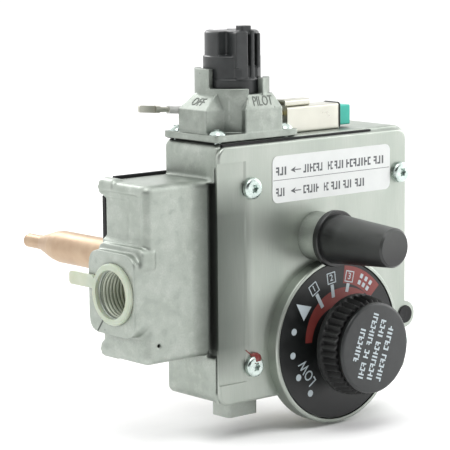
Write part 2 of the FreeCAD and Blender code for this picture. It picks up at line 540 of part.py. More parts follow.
def barrel_sector(start, end, z0, z1):
    """The part of a tall ring of the barrel's section between two compass angles, in degrees from +X."""
    ring = cut(cyl_z(z0, z1, 0, 0, BARREL_OUTER), [cyl_z(z0, z1, 0, 0, BARREL_INNER)])
    steps = 6
    fan = [V(0, 0, z0)]
    for i in range(steps + 1):
        a = math.radians(start + (end - start) * i / steps)
        fan.append(V(30 * math.cos(a), 30 * math.sin(a), z0))
    sector = ring.common(Part.Face(Part.makePolygon(fan + fan[:1])).extrude(V(0, 0, z1 - z0)))
    sector.translate(V(COCK_X, COCK_Y, 0))
    return sector


def bonnet():
    flange = rounded_box(FLANGE_LEFT, FLANGE_RIGHT, FLANGE_FRONT, FLANGE_BACK, FLANGE_BOTTOM, FLANGE_TOP, 2, 1.5)
    barrel = cyl_z(FLANGE_BOTTOM, BARREL_RIM, COCK_X, COCK_Y, BARREL_OUTER)
    blocks = [guard_block(-90, 9.2, 6.8, 22.5, 15.4),
              guard_block(0, 10.4, 6.6, COCK_Y - PILOT_FACE, COCK_Y - PILOT_CREST),
              guard_block(90, 5.2, 3.8, 15.9, 13.4)]
    blocks[0].translate(V(0, -0.2, 0))
    blocks[1].translate(V(3.2, 0, 0))
    blocks[2].translate(V(0, 4.6, 0))
    shell = fuse([flange, barrel] + blocks)
    hollow = [cyl_z(BARREL_FLOOR, BARREL_RIM + 12, COCK_X, COCK_Y, BARREL_INNER),
              cyl_z(FLANGE_BOTTOM - 1, BARREL_FLOOR + 1, COCK_X, COCK_Y, STEM_RADIUS + RUNNING_CLEARANCE)]
    hollow += [cyl_z(FLANGE_BOTTOM - 1, FLANGE_TOP + 1, x, y, 1.7) for x, y in BONNET_SCREWS]
    shell = cut(shell, hollow)
    slope = Part.Face(Part.makePolygon([
        V(-36, FLANGE_FRONT - 1, BLOCK_SHOULDER), V(-36, PILOT_FACE, BLOCK_SHOULDER),
        V(-36, PILOT_CREST, BLOCK_CREST), V(-36, FLANGE_FRONT - 1, BLOCK_CREST),
        V(-36, FLANGE_FRONT - 1, BLOCK_SHOULDER)])).extrude(V(22, 0, 0))
    shell = cut(shell, [slope])
    notch = [barrel_sector(256, 284, NOTCH_RIM, BARREL_RIM + 1), barrel_sector(326, 490, NOTCH_RIM, BARREL_RIM + 1)]
    prongs = [barrel_sector(132, 191.5, BARREL_RIM - 3, LEFT_PRONG_TOP),
              barrel_sector(284, 326, BARREL_RIM - 3, RIGHT_PRONG_TOP)]
    return fuse([cut(shell, notch)] + prongs)


def bonnet_gasket():
    sheet = box(-50.8, -6.0, -33.2, -2.1, BODY_TOP, FLANGE_BOTTOM)
    holes = [cyl_z(BODY_TOP, FLANGE_BOTTOM, x, y, 1.9) for x, y in BONNET_SCREWS]
    return cut(sheet, holes + [cyl_z(BODY_TOP, FLANGE_BOTTOM, COCK_X, COCK_Y, 9.8)])


def bonnet_screws():
    screws = []
    for x, y in BONNET_SCREWS:
        dome = Part.makeSphere(4.1, V(x, y, FLANGE_TOP - 1.7)).common(cyl_z(FLANGE_TOP, FLANGE_TOP + 3, x, y, 3.6))
        dome = cut(dome, [box(x - 2.0, x + 2.0, y - 0.4, y + 0.4, FLANGE_TOP + 1.4, FLANGE_TOP + 3),
                          box(x - 0.4, x + 0.4, y - 2.0, y + 2.0, FLANGE_TOP + 1.4, FLANGE_TOP + 3)])
        screws.append(fuse([dome, cyl_z(62.1, FLANGE_TOP + 0.3, x, y, 1.6)]))
    return Part.makeCompound(screws)


def stem_seal():
    return turned([(STEM_RADIUS + RUNNING_CLEARANCE, BARREL_FLOOR), (5.5, BARREL_FLOOR), (5.5, BARREL_FLOOR + 1.0),
                   (STEM_RADIUS + RUNNING_CLEARANCE, BARREL_FLOOR + 1.0)], (COCK_X, COCK_Y, 0), "z")


def cock_stem():
    return turned([(0, 31.3), (STEM_RADIUS - 0.6, 31.3), (STEM_RADIUS, 31.9), (STEM_RADIUS, 112.0), (0, 112.0)],
                  (COCK_X, COCK_Y, 0), "z")


def cock_plug():
    """The tapered plug. Its main port points with the knob, and the pilot port is a quarter turn ahead."""
    cone = turned([(STEM_RADIUS + RUNNING_CLEARANCE, 56.0), (9.4, 56.0), (7.5, 34.0), (4.2, 34.0), (4.2, 50.0),
                   (STEM_RADIUS + RUNNING_CLEARANCE, 50.0)], (COCK_X, COCK_Y, 0), "z")
    main_port = cyl_y(COCK_Y - 12, COCK_Y, COCK_X, 46.0, 3.0)
    pilot_port = cyl_x(COCK_X, COCK_X + 12, COCK_Y, 46.0, 0.9)
    return cut(cone, [main_port, pilot_port])


def cock_knob():
    """The grip: a collar inside the guard, a skirt, a split upper part and the pointer rib with two fins."""
    blank = turned([(0, 113.0), (0, GRIP_TOP), (GRIP_UPPER - 0.8, GRIP_TOP), (GRIP_UPPER, GRIP_TOP - 0.8),
                    (GRIP_UPPER, GRIP_STEP), (GRIP_SKIRT, GRIP_STEP - 0.4), (GRIP_SKIRT, GRIP_COLLAR_TOP),
                    (GRIP_COLLAR, GRIP_COLLAR_TOP - 0.4), (GRIP_COLLAR, GRIP_BOTTOM), (GRIP_HOLLOW, GRIP_BOTTOM),
                    (GRIP_HOLLOW, GRIP_HOLLOW_TOP), (4.6, GRIP_HOLLOW_TOP), (4.6, 84.0), (STEM_RADIUS, 84.0),
                    (STEM_RADIUS, 112.0), (0, 112.0)], (0, 0, 0), "z")
    rib = rounded_box(7.0, 12.3, -6.2, -0.1, GRIP_COLLAR_TOP + 0.4, GRIP_TOP - 0.2, 0, 0.8)
    fin = rounded_box(7.0, 12.3, 1.6, 3.4, GRIP_COLLAR_TOP + 0.4, GRIP_TOP + 0.4, 0, 0.7)
    side_fin = rounded_box(7.0, 12.3, 4.7, 6.4, GRIP_COLLAR_TOP + 0.4, GRIP_TOP - 0.8, 0, 0.7)
    ribs = cut(fuse([rib, fin, side_fin]), [cyl_z(GRIP_BOTTOM, GRIP_HOLLOW_TOP, 0, 0, GRIP_HOLLOW)])
    slots = []
    for t in (0.0, 3.3):
        slots.append(box(9.6, 14.0, t, t + 1.5, GRIP_HOLLOW_TOP + 0.6, GRIP_TOP - 1.2))
        slots.append(box(11.3, 14.0, t, t + 1.5, GRIP_COLLAR_TOP + 0.4, GRIP_HOLLOW_TOP + 0.7))
    # below the prongs' reach nothing stands out past the guard's bore
    low_trim = cut(cyl_z(GRIP_BOTTOM, GRIP_CLEAR_HEIGHT, 0, 0, 20.0),
                   [cyl_z(GRIP_BOTTOM, GRIP_CLEAR_HEIGHT, 0, 0, BARREL_INNER - 0.3)])
    lug = rounded_box(6.4, 11.2, -2.6, 2.6, GRIP_TOP - 1, GRIP_TOP + 2.3, 2, 0.8)
    scallop = rounded_box(5.0, 14.0, -11.6, -6.1, GRIP_STEP + 0.2, GRIP_TOP + 2, 0, 0.6)
    far_scallop = rounded_box(-14.0, -6.0, -4.4, 4.4, GRIP_STEP + 0.2, GRIP_TOP + 2, 0, 0.8)
    solid = cut(fuse([cut(blank, [scallop, far_scallop]), ribs, lug]), [low_trim] + slots)
    solid.rotate(V(0, 0, 0), V(0, 0, 1), -96.0)
    solid.translate(V(COCK_X, COCK_Y, 0))
    return solid


def safety_seat():
    return turned([(5.0, SAFETY_SEAT_BOTTOM), (7.95, SAFETY_SEAT_BOTTOM + 0.4), (7.95, 28.0), (5.0, 28.0)],
                  (COCK_X, COCK_Y, 0), "z")


def safety_disc():
    return turned([(1.3, 21.2), (6.8, 21.2), (6.8, 24.3), (1.3, 24.3)], (COCK_X, COCK_Y, 0), "z")


def safety_stem():
    return turned([(0, -9.7), (1.3, -9.7), (1.3, 31.0), (0, 31.0)], (COCK_X, COCK_Y, 0), "z")


def magnet_armature():
    return turned([(0, -11.7), (4.6, -11.7), (4.6, -9.7), (0, -9.7)], (COCK_X, COCK_Y, 0), "z")


def magnet_housing():
    can = cyl_z(-30.0, -16.0, COCK_X, COCK_Y, 7.6)
    edge = [e for e in can.Edges if e.BoundBox.ZMin > -16.1]
    return can.makeFillet(0.8, edge)


def magnet_contact():
    return turned([(0, -40.6), (1.0, -40.6), (1.8, -39.8), (1.8, -34.0), (3.2, -34.0), (3.2, -30.0), (0, -30.0)],
                  (COCK_X, COCK_Y, 0), "z")


# --- ports and fittings --------------------------------------------------------------------------
def thermocouple_port():
    block = rounded_box(COCK_X - 8.3, COCK_X + 8.3, COCK_Y - 6.0, COCK_Y + 6.0, PORT_BOTTOM, PORT_TOP, 2, 1.8)
    return cut(block, [cyl_z(PORT_BOTTOM, PORT_TOP, COCK_X, COCK_Y, PORT_BORE)])


def port_clamp():
    plate = rounded_box(COCK_X - 7.4, COCK_X + 4.6, COCK_Y - 7.4, COCK_Y + 6.0, PORT_TOP, BODY_BOTTOM, 2, 1.5)
    return cut(plate, [cyl_z(PORT_TOP, BODY_BOTTOM, COCK_X, COCK_Y, PORT_BORE + 0.3)])


def burner_outlet_fitting():
    nut = hexagon_z(OUTLET_BOTTOM, BODY_BOTTOM, OUTLET_X, OUTLET_Y, 24.0)
    return cut(nut, [cyl_z(OUTLET_BOTTOM, BODY_BOTTOM, OUTLET_X, OUTLET_Y, OUTLET_BORE)])


def pilot_outlet_fitting():
    nut = hexagon_z(PILOT_BOTTOM, BODY_BOTTOM, PILOT_X, COCK_Y, 15.0)
    return cut(nut, [cyl_z(PILOT_BOTTOM, BODY_BOTTOM, PILOT_X, COCK_Y, PILOT_BORE)])


def pilot_adjust_cap():
    cap = cyl_x(BODY_RIGHT, 64.3, -29.6, -29.5, 3.5)
    edge = [e for e in cap.Edges if e.BoundBox.XMin > 64.0]
    return cut(cap.makeFillet(0.6, edge), [box(63.3, 65.0, -33.0, -26.0, -29.9, -29.1)])


def pressure_tap_plug():
    plug = cyl_x(BODY_RIGHT - 7.9, BODY_RIGHT + 0.6, OUTLET_Y, 12.0, 4.9)
    socket = hexagon_z(0, 4.5, 0, 0, 4.8)
    socket.rotate(V(0, 0, 0), V(0, 1, 0), 90)
    socket.translate(V(BODY_RIGHT - 3.5, OUTLET_Y, 12.0))
    return cut(plug, [socket])


def inlet_screen():
    """A fine strainer cup; its mesh is a plain thin wall here."""
    x0 = PAD_LEFT + INLET_DEPTH + 0.1
    return turned([(6.2, x0), (6.95, x0), (6.95, x0 + 1.0), (6.4, x0 + 1.0), (4.6, x0 + 11.0), (0, x0 + 11.0),
                   (0, x0 + 10.5), (4.3, x0 + 10.5)], (0, INLET_Y, INLET_Z), "x")


def inlet_protector():
    """The thin plastic flange that guards the inlet's thread, with its pull tab."""
    ring = turned([(10.3, -94.3), (12.4, -94.3), (13.0, -93.7), (13.0, PAD_LEFT), (10.3, PAD_LEFT)],
                  (0, INLET_Y, INLET_Z), "x")
    tab = rounded_box(-94.1, -92.7, INLET_Y + 11.5, 11.6, INLET_Z + 1.2, INLET_Z + 6.8, 0, 1.6)
    return fuse([ring, tab])


# --- electrical connector on top ------------------------------------------------------------------
HOUSING_LEFT, HOUSING_RIGHT = -4.5, 26.2
HOUSING_FRONT, HOUSING_BACK = -27.5, -17.5
HOUSING_TOP = 81.2
SHEET = 0.6
LINER = 0.7


def connector_housing():
    shell = rounded_box(HOUSING_LEFT, HOUSING_RIGHT, HOUSING_FRONT, HOUSING_BACK, BODY_TOP, HOUSING_TOP, 0, 0.9)
    inside = box(HOUSING_LEFT + SHEET, HOUSING_RIGHT + 1, HOUSING_FRONT + SHEET, HOUSING_BACK - SHEET,
                 BODY_TOP + SHEET, HOUSING_TOP - SHEET)
    slot = box(HOUSING_LEFT - 1, HOUSING_LEFT + 1, -25.0, -21.0, 77.5, 79.5)
    return cut(shell, [inside, slot])


def connector_liner():
    gap = SHEET + 0.02
    sleeve = box(HOUSING_LEFT + 2.0, HOUSING_RIGHT + 0.5, HOUSING_FRONT + gap, HOUSING_BACK - gap,
                 BODY_TOP + gap, HOUSING_TOP - gap)
    inside = box(HOUSING_LEFT, HOUSING_RIGHT + 1, HOUSING_FRONT + gap + LINER, HOUSING_BACK - gap - LINER,
                 BODY_TOP + gap + LINER, HOUSING_TOP - gap - LINER)
    return cut(sleeve, [inside])


def connector_block():
    wall = SHEET + LINER + 0.05
    return rounded_box(HOUSING_LEFT + 2.2, 33.9, HOUSING_FRONT + wall, HOUSING_BACK - wall, BODY_TOP + wall,
                       HOUSING_TOP - wall, 0, 0.7)


def connector_terminal():
    return rounded_box(-11.0, HOUSING_LEFT + 1.9, -24.9, -21.1, 77.6, 79.4, 0, 0.4)


def spade_receptacle():
    """A flat receptacle with rolled edges that lies on the housing."""
    shell = rounded_box(-4.2, 10.2, -25.8, -19.6, HOUSING_TOP, HOUSING_TOP + 3.1, 0, 1.2)
    return cut(shell, [box(-5.0, 11.0, -25.0, -20.4, HOUSING_TOP + 0.7, HOUSING_TOP + 2.3),
                       box(-3.0, 4.5, -23.1, -22.3, HOUSING_TOP + 2.0, HOUSING_TOP + 4)])


def terminal_stand():
    post = rounded_box(-43.5, -37.5, -7.5, -3.5, FLANGE_TOP, 83.6, 2, 0.6)
    return cut(post, [cyl_z(FLANGE_TOP - 1, 90.0, COCK_X, COCK_Y, BARREL_OUTER + 0.1)])


def tilt_terminal(shape):
    shape.rotate(V(-43.5, -5.5, 81.4), V(0, 1, 0), 5.0)
    return shape


def terminal_sleeve():
    sleeve = cyl_x(-53.0, -43.9, -5.5, 81.4, 1.7)
    return tilt_terminal(cut(sleeve, [cyl_x(-53.0, -51.0, -5.5, 81.4, 1.2)]))


def lead_terminal():
    crimp = cyl_x(-58.5, -51.0, -5.5, 81.4, 1.2)
    blade = rounded_box(-69.0, -58.0, -5.95, -5.05, 79.9, 82.9, 1, 0.8)
    bead = cyl_x(-60.5, -58.0, -5.5, 81.4, 1.6)
    return tilt_terminal(fuse([crimp, blade, bead]))


# --- assembly ------------------------------------------------------------------------------------
SUB_PARTS = [
    valve_body, front_cover, cover_gasket, cover_screws, label_plate, back_plate, back_screws, tank_shank,
    immersion_tube, thermostat_rod, thermostat_lever, main_valve_seat, main_valve_disc, main_valve_stem,
    snap_disc, dial_bushing, dial_shaft, adjusting_screw, dial_scale, dial_knob, regulator_tower,
    regulator_cap, conversion_plunger, regulator_diaphragm, diaphragm_plate, regulator_poppet, bonnet,
    bonnet_gasket, bonnet_screws, stem_seal, cock_stem, cock_plug, cock_knob, safety_seat, safety_disc,
    safety_stem, magnet_armature, magnet_housing, magnet_contact, thermocouple_port, port_clamp,
    burner_outlet_fitting, pilot_outlet_fitting, pilot_adjust_cap, pressure_tap_plug, inlet_screen,
    inlet_protector, connector_housing, connector_liner, connector_block, connector_terminal,
    spade_receptacle, terminal_stand, terminal_sleeve, lead_terminal]

for make in SUB_PARTS:
    parts[make.__name__] = make()

parts["main_valve_spring"] = coil_y(VALVE_X, VALVE_Z, -33.9, -19.6, 4.0, 0.45, 6)
parts["regulator_spring"] = coil_y(REG_X, REG_Z, -41.4, -32.0, 5.0, 0.5, 4)
parts["cock_spring"] = coil_z(COCK_X, COCK_Y, BARREL_FLOOR + 0.1, 99.9, 7.2, 0.6, 6)
parts["plug_spring"] = coil_z(COCK_X, COCK_Y, 56.1, 69.9, 6.0, 0.7, 4.25)
parts["safety_spring"] = coil_z(COCK_X, COCK_Y, -15.9, 21.1, 6.2, 0.5, 7.5)

os.makedirs("parts", exist_ok=True)
for name, shape in parts.items():
    shape.exportStep("parts/" + name + ".step")
    print(name, len(shape.Solids), round(shape.Volume, 1), shape.isValid())
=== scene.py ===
import json
import math

import bmesh
import bpy
from mathutils import Matrix, Vector


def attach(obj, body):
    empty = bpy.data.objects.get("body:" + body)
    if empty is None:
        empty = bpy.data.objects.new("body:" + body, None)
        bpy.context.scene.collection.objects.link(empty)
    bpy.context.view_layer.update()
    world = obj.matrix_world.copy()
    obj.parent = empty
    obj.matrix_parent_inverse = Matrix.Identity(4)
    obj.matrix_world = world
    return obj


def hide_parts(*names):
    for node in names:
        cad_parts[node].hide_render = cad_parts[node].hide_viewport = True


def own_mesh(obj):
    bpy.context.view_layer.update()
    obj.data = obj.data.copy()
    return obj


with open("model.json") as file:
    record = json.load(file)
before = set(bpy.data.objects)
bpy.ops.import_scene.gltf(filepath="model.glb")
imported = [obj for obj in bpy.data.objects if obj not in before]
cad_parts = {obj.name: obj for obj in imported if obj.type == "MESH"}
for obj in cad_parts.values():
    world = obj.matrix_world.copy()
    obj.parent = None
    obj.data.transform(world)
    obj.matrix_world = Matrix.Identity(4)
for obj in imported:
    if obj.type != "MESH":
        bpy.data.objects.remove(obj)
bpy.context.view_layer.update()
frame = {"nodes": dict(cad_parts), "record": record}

MM = 0.001
nodes = frame["nodes"]
slot_of = {s["node"]: s["material_slot"] for s in frame["record"]["subparts"]}


# --- camera, floor and light --------------------------------------------------------------------
CAMERA_PLACE = (-0.6391, -0.7284, 0.1732)
CAMERA_TURN, CAMERA_DIP, CAMERA_ROLL = math.radians(40.5), math.radians(8.6), math.radians(0.5)
LENS, SENSOR_WIDTH = 176, 36
FLOOR_HEIGHT, FLOOR_HALF = -0.0585, 12.0
# the opening's middle, from the dial's side toward the cock's right, and its soft edge in degrees from there
OPENING_TURN, OPENING_RISE = -30.0, -6.0
OPENING_INNER, OPENING_OUTER = 48.0, 70.0
TENT_LIGHT, OPENING_LIGHT = 1.35, 0.05


def add_camera():
    """The camera at the photograph's viewing angle: turned, dipped and rolled from a level view along +Y."""
    forward = Vector((
        math.sin(CAMERA_TURN) * math.cos(CAMERA_DIP),
        math.cos(CAMERA_TURN) * math.cos(CAMERA_DIP),
        -math.sin(CAMERA_DIP),
    ))
    level = Vector((math.cos(CAMERA_TURN), -math.sin(CAMERA_TURN), 0))
    above = level.cross(forward)
    right = math.cos(CAMERA_ROLL) * level - math.sin(CAMERA_ROLL) * above
    up = math.sin(CAMERA_ROLL) * level + math.cos(CAMERA_ROLL) * above
    data = bpy.data.cameras.new("camera")
    data.lens, data.sensor_width = LENS, SENSOR_WIDTH
    data.clip_start, data.clip_end = 0.05, 50
    camera = bpy.data.objects.new("camera", data)
    facing = Matrix((right, up, -forward)).transposed().to_4x4()
    camera.matrix_world = Matrix.Translation(CAMERA_PLACE) @ facing
    bpy.context.collection.objects.link(camera)
    bpy.context.scene.camera = camera


def add_area(name, place, size, power):
    """A soft box at place, size metres wide and high, that faces the part."""
    data = bpy.data.lights.new(name, "AREA")
    data.shape, data.size, data.size_y = "RECTANGLE", size[0], size[1]
    data.energy = power
    lamp = bpy.data.objects.new(name, data)
    lamp.location = place
    lamp.rotation_euler = (-Vector(place)).to_track_quat("-Z", "Y").to_euler()
    bpy.context.collection.objects.link(lamp)


def light_tent(world):
    """White all round, but for a dim opening on the side that the camera looks in from."""
    tree = world.node_tree
    direction = tree.nodes.new("ShaderNodeTexCoord")
    toward = tree.nodes.new("ShaderNodeVectorMath")
    toward.operation = "DOT_PRODUCT"
    turn, rise = math.radians(OPENING_TURN), math.radians(OPENING_RISE)
    toward.inputs[1].default_value = (math.sin(turn) * math.cos(rise), -math.cos(turn) * math.cos(rise),
                                      math.sin(rise))
    dimmed = tree.nodes.new("ShaderNodeMapRange")
    dimmed.interpolation_type = "SMOOTHSTEP"
    for socket, value in (("From Min", math.cos(math.radians(OPENING_OUTER))),
                          ("From Max", math.cos(math.radians(OPENING_INNER))),
                          ("To Min", TENT_LIGHT), ("To Max", OPENING_LIGHT)):
        dimmed.inputs[socket].default_value = value
    tree.links.new(direction.outputs["Generated"], toward.inputs[0])
    tree.links.new(toward.outputs["Value"], dimmed.inputs["Value"])
    tree.links.new(dimmed.outputs["Result"], tree.nodes["Background"].inputs["Strength"])


def add_studio():
    scene = bpy.context.scene
    scene.view_settings.view_transform = "Standard"
    world = bpy.data.worlds.new("studio")
    scene.world = world
    world.use_nodes = True
    world.node_tree.nodes["Background"].inputs["Color"].default_value = (1, 1, 1, 1)
    light_tent(world)
    add_area("key", (-0.3, -0.5, 1.1), (0.7, 0.7), 6)
    add_area("right_box", (0.9, -0.5, 0.35), (0.4, 0.8), 4)
    add_area("top_back_box", (0.1, 0.9, 0.6), (0.3, 0.45), 3)


def pale_floor():
    mesh = bpy.data.meshes.new("floor")
    half = FLOOR_HALF
    corners = [(-half, -half, FLOOR_HEIGHT), (half, -half, FLOOR_HEIGHT),
               (half, half, FLOOR_HEIGHT), (-half, half, FLOOR_HEIGHT)]
    mesh.from_pydata(corners, [], [(0, 1, 2, 3)])
    floor = bpy.data.objects.new("floor", mesh)
    bpy.context.collection.objects.link(floor)
    floor.data.materials.append(moulded("floor_white", (0.96, 0.96, 0.96), (0.94, 0.94, 0.94), 0.9, grain=3.0,
                                        relief=0.02, Specular_IOR_Level=0.1))


# --- materials ----------------------------------------------------------------------------------
# places in the row frame, in mm: the gap's left side, the regulator's axis and the cover's left strip
GAP_LEFT, REG_Z = -54.0, 25.7
STRIP_RIGHT, STRIP_BOTTOM, STRIP_TOP = -37.3, -33.0, 61.5


class Paint:
    """A material's node tree, built up from patches, grain and pits in mm."""

    def __init__(self, name, **shader):
        self.material = bpy.data.materials.new(name)
        self.material.use_nodes = True
        self.tree = self.material.node_tree
        self.shader = self.tree.nodes["Principled BSDF"]
        for socket, value in shader.items():
            self.shader.inputs[socket.replace("_", " ")].default_value = value
        self.coordinates = self.tree.nodes.new("ShaderNodeTexCoord")
        self.height = None

    def link(self, a, b):
        self.tree.links.new(a, b)

    def noise(self, size, stretch=(1, 1, 1), detail=3.0, roughness=0.5, shift=0.0):
        """Noise with blobs about size mm across, longer along an axis by its stretch."""
        mapping = self.tree.nodes.new("ShaderNodeMapping")
        mapping.inputs["Scale"].default_value = [1 / (MM * size * s) for s in stretch]
        mapping.inputs["Location"].default_value = (shift, shift * 0.7, -shift)
        texture = self.tree.nodes.new("ShaderNodeTexNoise")
        texture.inputs["Scale"].default_value = 1.0
        texture.inputs["Detail"].default_value = detail
        texture.inputs["Roughness"].default_value = roughness
        self.link(self.coordinates.outputs["Object"], mapping.inputs["Vector"])
        self.link(mapping.outputs["Vector"], texture.inputs["Vector"])
        return texture.outputs["Fac"]

    def pits(self, size, radius):
        """1 inside small scattered dots, 0 elsewhere."""
        mapping = self.tree.nodes.new("ShaderNodeMapping")
        mapping.inputs["Scale"].default_value = [1 / (MM * size)] * 3
        texture = self.tree.nodes.new("ShaderNodeTexVoronoi")
        texture.inputs["Scale"].default_value = 1.0
        self.link(self.coordinates.outputs["Object"], mapping.inputs["Vector"])
        self.link(mapping.outputs["Vector"], texture.inputs["Vector"])
        return self.ranged(texture.outputs["Distance"], radius, radius * 0.5, 0, 1)

    def ranged(self, value, a, b, low, high):
        """value's stretch from a to b, mapped to low..high."""
        node = self.tree.nodes.new("ShaderNodeMapRange")
        for socket, number in (("From Min", a), ("From Max", b), ("To Min", low), ("To Max", high)):
            node.inputs[socket].default_value = number
        self.link(value, node.inputs["Value"])
        return node.outputs["Result"]

    def blend(self, factor, a, b):
        """Colour a where factor is 0, b where it is 1. Either may be a colour or an output."""
        node = self.tree.nodes.new("ShaderNodeMix")
        node.data_type = "RGBA"
        self.link(factor, node.inputs["Factor"])
        for socket, colour in ((node.inputs[6], a), (node.inputs[7], b)):
            if isinstance(colour, tuple):
                socket.default_value = (*colour, 1)
            else:
                self.link(colour, socket)
        return node.outputs[2]

    def along(self, axis, start, end, low=0.0, high=1.0):
        """low up to start mm on an axis of the row frame, high from end mm on, and a ramp between."""
        parts = self.tree.nodes.new("ShaderNodeSeparateXYZ")
        self.link(self.coordinates.outputs["Object"], parts.inputs["Vector"])
        return self.ranged(parts.outputs[axis], start * MM, end * MM, low, high)

    def product(self, *values):
        """The product of two or more outputs."""
        result = values[0]
        for value in values[1:]:
            node = self.tree.nodes.new("ShaderNodeMath")
            node.operation = "MULTIPLY"
            self.link(result, node.inputs[0])
            self.link(value, node.inputs[1])
            result = node.outputs[0]
        return result

    def crevice(self, reach):
        """1 deep in corners and gaps narrower than reach mm, 0 in the open."""
        node = self.tree.nodes.new("ShaderNodeAmbientOcclusion")
        node.samples = 6
        node.inputs["Distance"].default_value = reach * MM
        return self.ranged(node.outputs["AO"], 0.3, 0.85, 1, 0)

    def bump(self, value, height):
        """Adds relief of height mm, on top of the relief so far."""
        node = self.tree.nodes.new("ShaderNodeBump")
        node.inputs["Strength"].default_value = 1.0
        node.inputs["Distance"].default_value = height * MM
        self.link(value, node.inputs["Height"])
        if self.height:
            self.link(self.height, node.inputs["Normal"])
        self.height = node.outputs["Normal"]

    def colour(self, output):
        self.link(output, self.shader.inputs["Base Color"])

    def roughness(self, value, a, b, low, high):
        self.link(self.ranged(value, a, b, low, high), self.shader.inputs["Roughness"])

    def done(self):
        if self.height:
            self.link(self.height, self.shader.inputs["Normal"])
        return self.material


def cast_aluminium(name="cast_aluminium", reach=10, corner_shade=0.8, dull=0.0):
    """Die-cast metal: mottled, finely grained, rubbed at its edges, with painted shade in corners and beside the
    cover.
    """
    p = Paint(name, Metallic=0.8)
    large, middle, fine = p.noise(16, detail=2), p.noise(4.5, detail=5, shift=3), p.noise(0.7, detail=5)
    tone = p.blend(p.ranged(large, 0.35, 0.65, 0, 1), (0.335, 0.37, 0.33), (0.42, 0.455, 0.415))
    tone = p.blend(p.ranged(middle, 0.5, 0.72, 0, 0.7), tone, (0.52, 0.555, 0.51))
    tone = p.blend(p.ranged(middle, 0.45, 0.25, 0, 0.7), tone, (0.25, 0.285, 0.25))
    tone = p.blend(p.ranged(fine, 0.3, 0.7, 0, 0.5), tone, (0.31, 0.34, 0.305))
    tone = p.blend(p.pits(15.0, 0.03), tone, (0.17, 0.18, 0.17))
    geometry = p.tree.nodes.new("ShaderNodeNewGeometry")
    edge = p.ranged(geometry.outputs["Pointiness"], 0.53, 0.62, 0, 0.35)
    tone = p.blend(edge, tone, (0.58, 0.61, 0.57))
    # painted shade: the wing's front darkens toward the gap beside the cover's left edge
    painted_gap_shade = p.product(p.along("X", -62, GAP_LEFT + 0.5), p.along("X", -50, -49, 1, 0), p.along("Z", -22, -21),
                      p.along("Z", 53, 54, 1, 0), p.along("Y", -29, -28, 1, 0))
    tone = p.blend(p.ranged(painted_gap_shade, 0, 1, 0, 0.85), tone, (0.06, 0.07, 0.06))
    if dull:
        tone = p.blend(p.ranged(middle, 0.3, 0.7, dull + 0.08, dull - 0.08), tone, (0.17, 0.19, 0.17))
    # painted shade: darker deep in corners and narrow gaps, by the crevice mask
    tone = p.blend(p.ranged(p.crevice(reach), 0, 1, 0, corner_shade), tone, (0.08, 0.088, 0.08))
    p.colour(tone)
    p.roughness(middle, 0.3, 0.7, 0.38, 0.52)
    p.bump(large, 0.3)
    p.bump(middle, 0.07)
    p.bump(fine, 0.035)
    return p.done()


def cover_sheet():
    """Satin sheet with upright grain, and painted shade on the strip down its left side."""
    p = Paint("cover_metal", Metallic=0.95)
    lines = p.noise(0.22, stretch=(1, 1, 40), detail=4, roughness=0.6)
    broad = p.noise(14, stretch=(1, 1, 2.5), detail=2, shift=5)
    fine = p.noise(0.45, detail=4)
    tone = p.blend(p.ranged(broad, 0.35, 0.65, 0, 1), (0.355, 0.39, 0.35), (0.41, 0.44, 0.40))
    tone = p.blend(p.ranged(lines, 0.35, 0.7, 0, 0.3), tone, (0.31, 0.335, 0.305))
    # painted shade: darker down the cover's left strip, fading past its step and toward its top
    strip = p.product(p.along("X", STRIP_RIGHT - 0.5, STRIP_RIGHT + 4, 1, 0),
                      p.along("X", -52, STRIP_RIGHT, 1, 0.6), p.along("Z", STRIP_BOTTOM, STRIP_BOTTOM + 16),
                      p.along("Z", STRIP_TOP - 22, STRIP_TOP - 6, 1, 0))
    tone = p.blend(p.ranged(strip, 0, 1, 0, 0.86), tone, (0.075, 0.085, 0.075))
    p.colour(tone)
    p.roughness(lines, 0.3, 0.7, 0.34, 0.46)
    p.bump(lines, 0.008)
    p.bump(fine, 0.006)
    return p.done()


def plated(name, light, dark, roughness, patch=3.0, relief=0.002):
    """Plated or machined metal: faint stains and scratches."""
    p = Paint(name, Metallic=1.0)
    stains, scratches = p.noise(patch, detail=4), p.noise(0.15, stretch=(1, 6, 6), detail=3)
    tone = p.blend(p.ranged(stains, 0.35, 0.7, 0, 1), dark, light)
    p.colour(tone)
    p.roughness(stains, 0.3, 0.7, roughness - 0.05, roughness + 0.1)
    p.bump(scratches, relief)
    return p.done()


def moulded(name, base, wear_and_highlight, roughness, grain=0.25, relief=0.01, **shader):
    """Moulded plastic or rubber: fine grain and slightly paler rubbed patches."""
    p = Paint(name, **shader)
    patches, fine = p.noise(5, detail=4), p.noise(grain, detail=4)
    tone = p.blend(p.ranged(patches, 0.4, 0.75, 0, 0.6), base, wear_and_highlight)
    tone = p.blend(p.ranged(fine, 0.5, 0.8, 0, 0.3), tone, wear_and_highlight)
    p.colour(tone)
    p.roughness(patches, 0.3, 0.7, roughness - 0.06, roughness + 0.08)
    p.bump(fine, relief)
    return p.done()


def cap_plastic_painted_sheen():
    """Black plastic of the regulator's cap, with a painted sheen, paler on its upper side and toward its front.
    """
    p = Paint("black_plastic", Specular_IOR_Level=0.6)
    patches, fine = p.noise(4, detail=4), p.noise(0.25, detail=4)
    # painted highlight: paler in patches on the cap's upper side and toward its front
    painted_top_sheen = p.product(p.along("Z", REG_Z - 5, REG_Z + 7), p.ranged(patches, 0.3, 0.7, 0.75, 1),
                     p.along("Y", -56, -60, 0.2, 1))
    p.colour(p.blend(painted_top_sheen, (0.006, 0.0065, 0.0065), (0.045, 0.049, 0.046)))
    p.roughness(patches, 0.3, 0.7, 0.32, 0.42)
    p.bump(fine, 0.01)
    return p.done()


